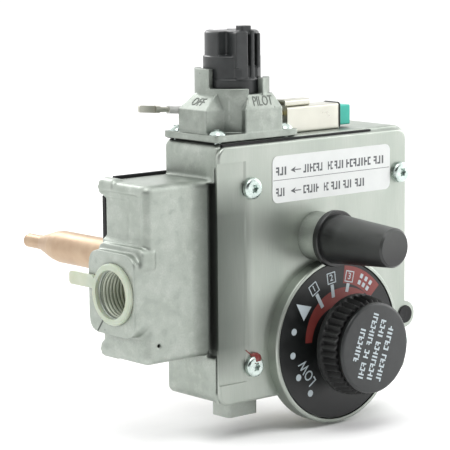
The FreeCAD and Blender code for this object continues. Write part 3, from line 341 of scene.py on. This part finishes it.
def make_materials():
    """One material for each of the record's slots."""
    return {
        "cast_aluminium": cast_aluminium(),
        "cover_metal": cover_sheet(),
        "zinc_steel": plated("zinc_steel", (0.64, 0.72, 0.68), (0.46, 0.54, 0.51), 0.24),
        "spring_steel": plated("spring_steel", (0.45, 0.45, 0.44), (0.32, 0.32, 0.32), 0.3),
        "invar": plated("invar", (0.52, 0.50, 0.47), (0.42, 0.41, 0.39), 0.34),
        "nickel": plated("nickel", (0.57, 0.565, 0.50), (0.53, 0.525, 0.465), 0.3, patch=9.0),
        "copper": plated("copper", (0.50, 0.385, 0.275), (0.40, 0.29, 0.20), 0.45, patch=9.0, relief=0.006),
        "brass": plated("brass", (0.66, 0.58, 0.30), (0.55, 0.47, 0.22), 0.3),
        "black_gasket": moulded("black_gasket", (0.009, 0.009, 0.01), (0.02, 0.02, 0.02), 0.75, relief=0.03),
        "black_rubber": moulded("black_rubber", (0.018, 0.019, 0.018), (0.03, 0.031, 0.03), 0.6, relief=0.02),
        "black_plastic": cap_plastic_painted_sheen(),
        "grey_plastic": moulded("grey_plastic", (0.018, 0.02, 0.0205), (0.036, 0.04, 0.04), 0.36),
        "dial_black": moulded("dial_black", (0.005, 0.006, 0.006), (0.013, 0.015, 0.015), 0.4, relief=0.006,
                              Specular_IOR_Level=0.42),
        "label_film": moulded("label_film", (0.70, 0.72, 0.71), (0.65, 0.67, 0.66), 0.5, relief=0.003),
        "natural_plastic": moulded("natural_plastic", (0.54, 0.585, 0.44), (0.66, 0.69, 0.60), 0.4,
                                   Transmission_Weight=0.2, Subsurface_Weight=0.1),
        "teal_plastic": moulded("teal_plastic", (0.02, 0.42, 0.33), (0.05, 0.50, 0.40), 0.45),
        "sleeve_plastic": moulded("sleeve_plastic", (0.70, 0.71, 0.68), (0.78, 0.78, 0.76), 0.3,
                                  Transmission_Weight=0.35),
        "blue_plastic": moulded("blue_plastic", (0.03, 0.12, 0.45), (0.06, 0.2, 0.55), 0.4),
    }


def paint_nodes(materials):
    """Gives every CAD node its slot's material."""
    for name, node in nodes.items():
        node.data.materials.clear()
        node.data.materials.append(materials[slot_of[name]])


# --- printed marks ------------------------------------------------------------------------------
CAPITAL_HEIGHT = 0.72                   # of a capital letter, as a share of the font's size


class Marks:
    """Thin flat shapes laid on the part: 2-D outlines in mm, in planes of the row frame."""

    def __init__(self, name, body, slot, materials):
        self.name, self.body, self.slot, self.materials = name, body, slot, materials
        self.mesh = bmesh.new()

    def lay_in(self, origin, across, up, proud=0.06, sunk=0.05):
        """The plane for the outlines that follow: its origin in mm, two axes, and how far they stand out."""
        self.origin = Vector(origin)
        self.across, self.up = Vector(across).normalized(), Vector(up).normalized()
        self.out = self.across.cross(self.up)
        self.proud, self.sunk = proud, sunk

    def place(self, a, b, height):
        return (self.origin + a * self.across + b * self.up + height * self.out) * MM

    def outline(self, points, material=0):
        top = [self.mesh.verts.new(self.place(a, b, self.proud)) for a, b in points]
        bottom = [self.mesh.verts.new(self.place(a, b, -self.sunk)) for a, b in points]
        faces = [self.mesh.faces.new(top), self.mesh.faces.new(bottom[::-1])]
        for i in range(len(points)):
            j = (i + 1) % len(points)
            faces.append(self.mesh.faces.new((top[j], top[i], bottom[i], bottom[j])))
        for face in faces:
            face.material_index = material

    def bar(self, a, b, width, height, turn=0.0, corner=0.25):
        """A rounded rectangle centred at (a, b), turned by turn degrees."""
        cosine, sine = math.cos(math.radians(turn)), math.sin(math.radians(turn))
        corner = min(corner, width / 2.01, height / 2.01)
        points = []
        for i, (sx, sy) in enumerate(((1, 1), (-1, 1), (-1, -1), (1, -1))):
            for step in range(4):
                angle = math.radians(90 * i + 30 * step)
                x = sx * (width / 2 - corner) + corner * math.cos(angle)
                y = sy * (height / 2 - corner) + corner * math.sin(angle)
                points.append((a + x * cosine - y * sine, b + x * sine + y * cosine))
        self.outline(points)

    def dot(self, a, b, radius):
        steps = 24
        self.outline([(a + radius * math.cos(math.tau * i / steps), b + radius * math.sin(math.tau * i / steps))
                      for i in range(steps)])

    def word(self, string, a, b, height, turn=0.0, squeeze=1.0, weight=0.0):
        """Plain lettering centred at (a, b), height mm tall, its baseline turned by turn degrees."""
        curve = bpy.data.curves.new("lettering", "FONT")
        curve.body, curve.size = string, height / CAPITAL_HEIGHT
        curve.align_x, curve.align_y = "CENTER", "CENTER"
        curve.offset = weight
        curve.resolution_u = 3
        holder = bpy.data.objects.new("lettering", curve)
        bpy.context.collection.objects.link(holder)
        flat = bpy.data.meshes.new_from_object(holder.evaluated_get(bpy.context.evaluated_depsgraph_get()))
        bpy.data.objects.remove(holder)
        cosine, sine = math.cos(math.radians(turn)), math.sin(math.radians(turn))
        letters = bmesh.new()
        letters.from_mesh(flat)
        bmesh.ops.remove_doubles(letters, verts=letters.verts, dist=0.001)
        sides = bmesh.ops.extrude_face_region(letters, geom=letters.faces[:])
        raised = {v for v in sides["geom"] if isinstance(v, bmesh.types.BMVert)}
        added = {}
        for v in letters.verts:
            x, y = v.co.x * squeeze, v.co.y
            point = (a + x * cosine - y * sine, b + x * sine + y * cosine)
            added[v] = self.mesh.verts.new(self.place(*point, self.proud if v in raised else -self.sunk))
        for face in letters.faces:
            self.mesh.faces.new([added[v] for v in face.verts])
        letters.free()

    def finish(self):
        bmesh.ops.recalc_face_normals(self.mesh, faces=self.mesh.faces)
        mesh = bpy.data.meshes.new(self.name)
        self.mesh.to_mesh(mesh)
        self.mesh.free()
        piece = bpy.data.objects.new(self.name, mesh)
        bpy.context.collection.objects.link(piece)
        for material in self.materials:
            mesh.materials.append(material)
        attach(piece, self.body)


def polar(radius, angle):
    """A point at an angle in degrees, counted from the right."""
    return radius * math.cos(math.radians(angle)), radius * math.sin(math.radians(angle))


# outlines in a unit box that stand for printed letters without spelling anything
MOCK_LETTERS = (
    ((0, 0), (1, 0), (1, 0.22), (0.42, 0.22), (0.42, 0.78), (1, 0.78), (1, 1), (0, 1)),
    ((0, 0), (1, 0), (1, 1), (0.58, 1), (0.58, 0.22), (0, 0.22)),
    ((0, 0), (0.42, 0), (0.42, 0.4), (1, 0.4), (1, 0.62), (0.42, 0.62), (0.42, 1), (0, 1)),
    ((0.58, 0), (1, 0), (1, 1), (0, 1), (0, 0.78), (0.58, 0.78), (0.58, 0.58), (0, 0.58), (0, 0.36),
     (0.58, 0.36)),
    ((0.25, 0), (0.75, 0), (0.75, 1), (0.25, 1)),
)


def mock_word(marks, start, length, count, height, turn=0.0):
    """count mock letters along a line: start is the lower corner of the first, length the whole word's."""
    cosine, sine = math.cos(math.radians(turn)), math.sin(math.radians(turn))
    pitch = length / count
    for i in range(count):
        shape = MOCK_LETTERS[(3 * i + count) % len(MOCK_LETTERS)]
        points = []
        for u, v in shape:
            along, above = (i + 0.06 + 0.84 * u) * pitch, v * height
            points.append((start[0] + along * cosine - above * sine, start[1] + along * sine + above * cosine))
        marks.outline(points)


# places in the row frame, in mm: the dial's axis, the faces that carry print, and the slopes on the guard
DIAL_X, DIAL_Z = 11.6, -21.1
SCALE_FRONT, KNOB_FRONT = -42.0, -65.4
BLOCK_SHOULDER, BLOCK_CREST = 82.7, 89.0
NUMBER_RADIUS, TICK_OUTER = 28.4, 25.4
TO_RIGHT, TO_TOP = (1, 0, 0), (0, 0, 1)


def dial_print(white, red):
    """A red band that widens to the hot end, a setting mark, dots, LOW, three numbered settings and six bars."""
    marks = Marks("dial_print", "dial", "dial_black", [white, red])
    face = (DIAL_X, SCALE_FRONT, DIAL_Z)
    marks.lay_in(face, TO_RIGHT, TO_TOP, proud=0.03)
    inner = [polar(15.5, 176 - 6 * i) for i in range(22)]
    outer = [polar(19.4 + 5.7 * (1 - i / 21) ** 1.2, 50 + 6 * i) for i in range(22)]
    marks.outline(inner + outer, 1)
    marks.outline([polar(33.0, a) for a in range(41, 84, 3)] + [polar(25.2, a) for a in range(83, 40, -3)], 1)
    marks.lay_in(face, TO_RIGHT, TO_TOP, proud=0.07)
    marks.outline([polar(31.2, 142), polar(23.2, 151), polar(23.2, 133)])
    for angle in (164.6, 186.8, 209.5, 232.0):
        marks.dot(*polar(26.9, angle), 1.5)
    marks.word("LOW", *polar(21.6, 213), 5.0, turn=213 - 90, squeeze=0.78, weight=0.04)
    for number, angle, tick in (("1", 120, 18.2), ("2", 98, 19.6), ("3", 76, 21.5)):
        marks.word(number, *polar(NUMBER_RADIUS, angle), 3.0, turn=angle - 90, weight=0.03)
        marks.bar(*polar((tick + TICK_OUTER) / 2, angle), 1.8, TICK_OUTER - tick, turn=angle - 90)
        frame_box(marks, NUMBER_RADIUS, angle, 5.0, 0.45)
    for radius in (30.4, 27.4):
        for angle in (62, 56, 50):
            marks.bar(*polar(radius, angle), 1.7, 2.0, turn=angle - 90)
    marks.finish()


def frame_box(marks, radius, angle, size, line):
    """A thin square frame round a number on the scale."""
    for end in (-1, 1):
        marks.bar(*polar(radius + end * (size - line) / 2, angle), size, line, turn=angle - 90, corner=0.05)
        a, b = polar(radius, angle)
        da, db = polar(end * (size - line) / 2, angle - 90)
        marks.bar(a + da, b + db, line, size - 2 * line - 0.02, turn=angle - 90, corner=0.05)


def knob_print(white):
    """Four slanting rows of mock letters on the knob's face, the first one the shortest."""
    marks = Marks("knob_print", "dial", "black_plastic", [white])
    marks.lay_in((DIAL_X, KNOB_FRONT, DIAL_Z), TO_RIGHT, TO_TOP, proud=0.05)
    turn, height = 70.0, 3.0
    rows = ((9.9, ((-8.0, 15.0, 8),)),
            (4.6, ((-14.8, 7.6, 4), (-5.4, 4.0, 2), (0.4, 14.6, 8))),
            (-0.8, ((-14.2, 17.4, 9), (4.8, 8.2, 4))),
            (-6.2, ((-13.4, 12.2, 6), (0.4, 11.0, 5))))
    cosine, sine = math.cos(math.radians(turn)), math.sin(math.radians(turn))
    for offset, words in rows:
        for along, length, count in words:
            above = offset - height / 2
            corner = (along * cosine - above * sine, along * sine + above * cosine)
            mock_word(marks, corner, length, count, height, turn)
    marks.finish()


def label_print(ink):
    """Two rows of mock lettering, each with an arrow to its left, and the line between them."""
    marks = Marks("label_print", "valve", "label_film", [ink])
    marks.lay_in((-22.0, -37.25, 42.0), TO_RIGHT, TO_TOP, proud=0.03, sunk=0.03)
    marks.bar(35.0, 9.8, 69.0, 0.22)
    height = 3.6
    rows = ((13.6, ((1.8, 6.7, 3), (17.6, 11.5, 6), (32.1, 3.1, 2), (36.0, 5.9, 3), (43.0, 15.2, 7),
                    (59.7, 6.8, 3))),
            (4.6, ((1.8, 5.5, 3), (17.6, 9.3, 5), (29.7, 3.0, 2), (34.0, 6.0, 3), (41.2, 5.5, 3),
                   (48.3, 6.3, 3))))
    for middle, words in rows:
        for start, length, count in words:
            mock_word(marks, (start, middle - height / 2), length, count, height)
        marks.outline([(10.3, middle), (13.2, middle + 1.3), (12.6, middle), (13.2, middle - 1.3)])
        marks.bar(14.6, middle, 3.6, 0.45)
    marks.finish()


def guard_lettering(dark):
    """The position words on the slopes of the guard's three blocks; their dark tone is painted shade in the cast
    letters.
    """
    marks = Marks("guard_lettering", "valve", "cast_aluminium", [dark])
    for string, foot, crest, across, squeeze in (
        ("OFF", (-50.5, -18.5), (-43.4, -18.5), (0, -1, 0), 0.72),
        ("PILOT", (-24.8, -35.4), (-24.8, -33.2), (1, 0, 0), 0.68),
        ("ON", (-12.1, -13.7), (-14.6, -13.7), (0, 1, 0), 0.6),
    ):
        low, high = Vector((*foot, BLOCK_SHOULDER)), Vector((*crest, BLOCK_CREST))
        marks.lay_in((low + high) / 2, across, high - low, proud=0.12, sunk=0.3)
        marks.word(string, 0, 0, 4.4, squeeze=squeeze)
    marks.finish()


# --- threads -------------------------------------------------------------------------------------
THREAD_PITCH = 1.814                    # 14 threads to the inch
SHANK_LENGTH, SHANK_ROOT, SHANK_TAPER, SHANK_RIDGE, SHANK_BORE = 36.9, 12.9, 0.45, 1.0, 8.1
INLET_Y, INLET_Z, INLET_START, INLET_END = -17.0, 9.0, -91.2, -74.0
INLET_ROOT, INLET_RIDGE, INLET_BACKING = 9.93, 0.4, 10.2


def thread_profile(turns):
    """Height of a thread's ridge, 0 at its root and 1 at its crest, at a number of turns along it."""
    part = turns % 1.0
    return max(0.0, min(1.0, 1.35 - 2.7 * abs(part - 0.5)))


def ring_grid(mesh, rings, closed):
    """Joins rings of vertices into a band; closed also joins the last ring to the first."""
    count = len(rings[0])
    pairs = list(zip(rings, rings[1:])) + ([(rings[-1], rings[0])] if closed else [])
    for first, second in pairs:
        for i in range(count):
            j = (i + 1) % count
            mesh.faces.new((first[i], first[j], second[j], second[i]))


def finish_piece(mesh, name, body, material, smooth=35.0):
    """Makes the piece: smooth but for edges sharper than smooth degrees, riding on body."""
    bmesh.ops.recalc_face_normals(mesh, faces=mesh.faces)
    data = bpy.data.meshes.new(name)
    mesh.to_mesh(data)
    mesh.free()
    piece = bpy.data.objects.new(name, data)
    bpy.context.collection.objects.link(piece)
    data.materials.append(material)
    data.shade_smooth()
    data.set_sharp_from_angle(angle=math.radians(smooth))
    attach(piece, body)
    return piece


def threaded_shank(material):
    """The tank shank with its tapered thread, over a plain bore for the element."""
    mesh = bmesh.new()
    around, steps = 96, 200
    start, end = 0.0, SHANK_LENGTH
    rings = []
    for i in range(steps + 1):
        y = start + (end - start) * i / steps
        fade = min(1.0, max(0.0, (y - 3.0) / 1.5)) * min(1.0, max(0.0, (end - y) / 1.6))
        root = SHANK_ROOT - SHANK_TAPER * y / end
        ring = []
        for k in range(around):
            a = math.tau * k / around
            r = root + fade * SHANK_RIDGE * thread_profile(y / THREAD_PITCH - k / around)
            ring.append(mesh.verts.new((r * MM * math.cos(a), y * MM, r * MM * math.sin(a))))
        rings.append(ring)
    for y in (end, start):
        rings.append([mesh.verts.new((SHANK_BORE * MM * math.cos(math.tau * k / around), y * MM,
                                      SHANK_BORE * MM * math.sin(math.tau * k / around)))
                      for k in range(around)])
    ring_grid(mesh, rings, True)
    piece = finish_piece(mesh, "shank_thread", "valve", material)
    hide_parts("tank_shank")


def inlet_thread(material):
    """The thread's ridges standing in the gas inlet's bore."""
    mesh = bmesh.new()
    around, steps = 72, 100
    rings = []
    for i in range(steps + 1):
        x = INLET_START + (INLET_END - INLET_START) * i / steps
        ring = []
        for k in range(around):
            a = math.tau * k / around
            r = INLET_ROOT - INLET_RIDGE * thread_profile(x / THREAD_PITCH - k / around)
            y, z = INLET_Y + r * math.cos(a), INLET_Z + r * math.sin(a)
            ring.append(mesh.verts.new((x * MM, y * MM, z * MM)))
        rings.append(ring)
    for x in (INLET_END, INLET_START):
        rings.append([mesh.verts.new((x * MM, (INLET_Y + INLET_BACKING * math.cos(math.tau * k / around)) * MM,
                                      (INLET_Z + INLET_BACKING * math.sin(math.tau * k / around)) * MM))
                      for k in range(around)])
    ring_grid(mesh, rings, True)
    finish_piece(mesh, "inlet_thread", "valve", material)


# --- small extras --------------------------------------------------------------------------------
def lathe(mesh, profile, place, around=32, wobble=0.0):
    """Rings of a profile of (depth along Y, radius) pairs in mm, its ends closed; wobble makes it uneven."""
    rings = []
    for row, (y, radius) in enumerate(profile):
        ring = []
        for k in range(around):
            a = math.tau * k / around
            r = radius * (1 + wobble * math.sin(3 * a + row) + 0.6 * wobble * math.sin(5 * a + 2 * row))
            point = Vector((place[0] + r * math.cos(a), place[1] + y, place[2] + r * math.sin(a)))
            ring.append(mesh.verts.new(point * MM))
        rings.append(ring)
    ring_grid(mesh, rings, False)
    mesh.faces.new(rings[0])
    mesh.faces.new(rings[-1])


def sealing_paint(paint):
    """A dab of paint across a cover screw's head, and the brush's tail beside it."""
    mesh = bmesh.new()
    dab = ((1.9, 2.3), (1.0, 2.5), (-0.1, 2.2), (-0.75, 1.5), (-1.0, 0.5))
    lathe(mesh, dab, (-32.6, -38.7, -23.2), 28, 0.12)
    lathe(mesh, ((0.0, 0.3), (-0.12, 0.22)), (-37.4, -37.0, -19.4), 12, 0.1)
    for i in range(6):
        stroke = ((0.0, 0.42 - 0.03 * i), (-0.2, 0.28))
        lathe(mesh, stroke, (-34.3 - 0.55 * i, -37.0, -21.9 + 0.42 * i), 12, 0.1)
    finish_piece(mesh, "sealing_paint", "valve", paint)


def ear_hole_shade_plug(rubber):
    """The black plug in the hole of the cover's ear, a dark piece that paints the shade inside the hole."""
    mesh = bmesh.new()
    profile = ((0.1, 0.6), (0.4, 2.2), (0.1, 3.3), (0.2, 3.9), (0.65, 4.05), (0.7, 3.15), (1.6, 3.15),
               (1.8, 2.6))
    lathe(mesh, profile, (57.8, -37.9, -16.2), 40)
    finish_piece(mesh, "ear_hole_shade_plug", "valve", rubber)


def pad_slit(dark):
    """A chisel nick in the inlet pad's face, drawn as a thin dark mark that paints the nick's shadow."""
    marks = Marks("pad_slit", "valve", "cast_aluminium", [dark])
    marks.lay_in((-92.5, -7.6, -5.5), (0, -1, 0), TO_TOP, proud=0.05, sunk=0.4)
    marks.bar(0, 0, 0.75, 6.2, turn=-37.2)
    marks.finish()


def liner_edge(rubber):
    """The liner's rolled edge round the connector's open end."""
    mesh = bmesh.new()
    steps, corner, thickness, place = 8, 1.5, 0.5, 26.3
    front, back, bottom, top = -27.9, -17.1, 70.0, 81.6
    path = []
    for quarter, (y, z) in enumerate(((back - corner, top - corner), (front + corner, top - corner),
                                      (front + corner, bottom + corner), (back - corner, bottom + corner))):
        for i in range(steps + 1):
            a = math.radians(90 * quarter + 90 * i / steps)
            path.append((y + corner * math.cos(a), z + corner * math.sin(a), math.cos(a), math.sin(a)))
    rings = []
    for k in range(steps):
        b = math.tau * k / steps
        x, out = place + thickness * math.cos(b), thickness * (math.sin(b) - 1)
        rings.append([mesh.verts.new(Vector((x, y + out * out_y, z + out * out_z)) * MM)
                      for y, z, out_y, out_z in path])
    ring_grid(mesh, rings, True)
    finish_piece(mesh, "liner_edge", "valve", rubber)


KNOB_TEETH, STEPS_PER_TOOTH = 40, 8
# the face lies before FACE_BEFORE; the skirt's back edge, behind EDGE_BEHIND and beyond EDGE_BEYOND mm in
# radius, gets a painted highlight
FACE_BEFORE, EDGE_BEHIND, EDGE_BEYOND = -64.2, -51.9, 21
# depth along Y, radius on a tooth's crest, and radius between teeth where it differs
KNOB_PROFILE = (
    (-65.4, 0.02), (-65.4, 18.3), (-65.3, 19.0), (-65.05, 19.4), (-64.7, 19.65), (-64.3, 19.7),
    (-63.6, 19.7), (-63.1, 19.5), (-62.4, 19.0), (-61.75, 18.9), (-61.6, 20.1, 19.0), (-61.2, 20.7, 19.3),
    (-60.6, 20.85, 19.8), (-55.3, 21.75, 20.2), (-54.8, 21.9, 20.5), (-54.4, 22.0, 21.6), (-54.0, 22.05),
    (-52.2, 22.1), (-51.8, 21.9), (-51.6, 21.4), (-51.6, 12.0), (-42.0, 12.0), (-42.0, 10.0),
    (-61.9, 10.0), (-61.9, 6.5), (-44.0, 6.5), (-44.0, 3.5), (-59.0, 3.5), (-59.0, 0.02))


def tooth_plastic():
    """Dark plastic in the toothed band, with a painted grey highlight on the teeth's edges."""
    p = Paint("knob_side", Specular_IOR_Level=0.28)
    geometry = p.tree.nodes.new("ShaderNodeNewGeometry")
    # painted highlight: grey on the teeth's sharp edges, where the light catches them
    wear_and_highlight = p.ranged(geometry.outputs["Pointiness"], 0.51, 0.58, 0, 1)
    p.colour(p.blend(wear_and_highlight, (0.0035, 0.0037, 0.0037), (0.024, 0.026, 0.025)))
    grain = p.noise(0.6, detail=4)
    p.roughness(grain, 0.3, 0.7, 0.34, 0.5)
    p.bump(grain, 0.01)
    return p.done()


def toothed_knob(face, side, wear_and_highlight):
    """The dial's knob: a smooth face and rim, a groove, a tapering toothed band and a plain skirt with a painted
    highlight on its back edge.
    """
    mesh = bmesh.new()
    around = KNOB_TEETH * STEPS_PER_TOOTH
    rings = []
    for y, crest, *between in KNOB_PROFILE:
        root = between[0] if between else crest
        ring = []
        for k in range(around):
            wave = abs(2 * (k % STEPS_PER_TOOTH) / STEPS_PER_TOOTH - 1)
            r, a = crest + (root - crest) * wave, math.tau * k / around
            ring.append(mesh.verts.new(Vector((DIAL_X + r * math.cos(a), y, DIAL_Z + r * math.sin(a))) * MM))
        rings.append(ring)
    ring_grid(mesh, rings, False)
    mesh.faces.new(rings[0])
    mesh.faces.new(rings[-1])
    for f in mesh.faces:
        middle = f.calc_center_median() / MM
        radius = math.hypot(middle.x - DIAL_X, middle.z - DIAL_Z)
        on_edge = middle.y > EDGE_BEHIND and radius > EDGE_BEYOND
        # faces on the skirt's back edge get the painted highlight
        f.material_index = 0 if middle.y < FACE_BEFORE else 2 if on_edge else 1
    piece = finish_piece(mesh, "toothed_knob", "dial", face, 28.0)
    piece.data.materials.append(side)
    piece.data.materials.append(wear_and_highlight)
    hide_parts("dial_knob")


# --- spring copies ---------------------------------------------------------------------------------
def live_spring(node):
    """A copy of a CAD spring, riding on the valve in place of the CAD node."""
    piece = bpy.data.objects.new(node + "_live", nodes[node].data.copy())
    bpy.context.collection.objects.link(piece)
    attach(piece, "valve")
    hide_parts(node)
    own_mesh(piece)


# --- castings with softened edges ------------------------------------------------------------------
SOFTENED_SHARE = 0.5                    # of the remeshed faces that are kept


def softened(node, body, material, voxel, passes):
    """A copy of a CAD node remeshed at voxel mm, its edges rounded over for a cast or moulded look."""
    mesh = nodes[node].data.copy()
    mesh.name = node + "_soft"
    piece = bpy.data.objects.new(node + "_soft", mesh)
    bpy.context.collection.objects.link(piece)
    remesh = piece.modifiers.new("skin", "REMESH")
    remesh.mode, remesh.voxel_size = "VOXEL", voxel * MM
    relax = piece.modifiers.new("relax", "SMOOTH")
    relax.factor, relax.iterations = 0.5, passes
    thin = piece.modifiers.new("thin", "DECIMATE")
    thin.ratio = SOFTENED_SHARE
    solid = bpy.data.meshes.new_from_object(piece.evaluated_get(bpy.context.evaluated_depsgraph_get()))
    piece.modifiers.clear()
    piece.data = solid
    solid.materials.clear()
    solid.materials.append(material)
    solid.shade_smooth()
    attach(piece, body)
    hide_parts(node)


# --- the scene -----------------------------------------------------------------------------------
add_camera()
add_studio()
pale_floor()
materials = make_materials()
paint_nodes(materials)
print_white = moulded("print_white", (0.50, 0.57, 0.60), (0.42, 0.48, 0.51), 0.5)
print_red = moulded("print_red", (0.20, 0.03, 0.025), (0.28, 0.06, 0.05), 0.5)
print_ink = moulded("print_ink", (0.09, 0.095, 0.10), (0.13, 0.135, 0.14), 0.6)
dial_print(print_white, print_red)
knob_print(print_white)
label_print(print_ink)
# painted shadow for the nick in the inlet pad
painted_slit_shadow = moulded("painted_slit_shadow", (0.07, 0.078, 0.07), (0.12, 0.13, 0.12), 0.7)
# the cast letters' shapes, darkened with painted shade
guard_lettering(moulded("letter_painted_shade", (0.13, 0.145, 0.13), (0.19, 0.205, 0.19), 0.7))
threaded_shank(materials["cast_aluminium"])
inlet_thread(moulded("bore_metal", (0.58, 0.62, 0.53), (0.68, 0.71, 0.62), 0.55, Metallic=0.35))
softened("valve_body", "valve", materials["cast_aluminium"], 0.6, 3)
# the bonnet's casting: painted shade reaching further into its corners, and a darker tone
softened("bonnet", "valve", cast_aluminium("cast_bonnet", 22, 1.0, 0.32), 0.32, 2)
softened("cock_knob", "cock_grip", materials["grey_plastic"], 0.3, 2)
sealing_red = moulded("sealing_red", (0.16, 0.02, 0.018), (0.26, 0.07, 0.06), 0.35, grain=0.6, relief=0.03)
sealing_paint(sealing_red)
# dark plug that paints the shade in the cover ear's hole
ear_hole_shade_plug(materials["black_gasket"])
live_spring("cock_spring")
live_spring("safety_spring")
live_spring("main_valve_spring")
live_spring("regulator_spring")
pad_slit(painted_slit_shadow)
liner_edge(materials["black_rubber"])
# painted highlight on the knob skirt's back edge
knob_rim_highlight = moulded("knob_rim_highlight", (0.09, 0.10, 0.09), (0.13, 0.14, 0.13), 0.5)
toothed_knob(materials["grey_plastic"], tooth_plastic(), knob_rim_highlight)
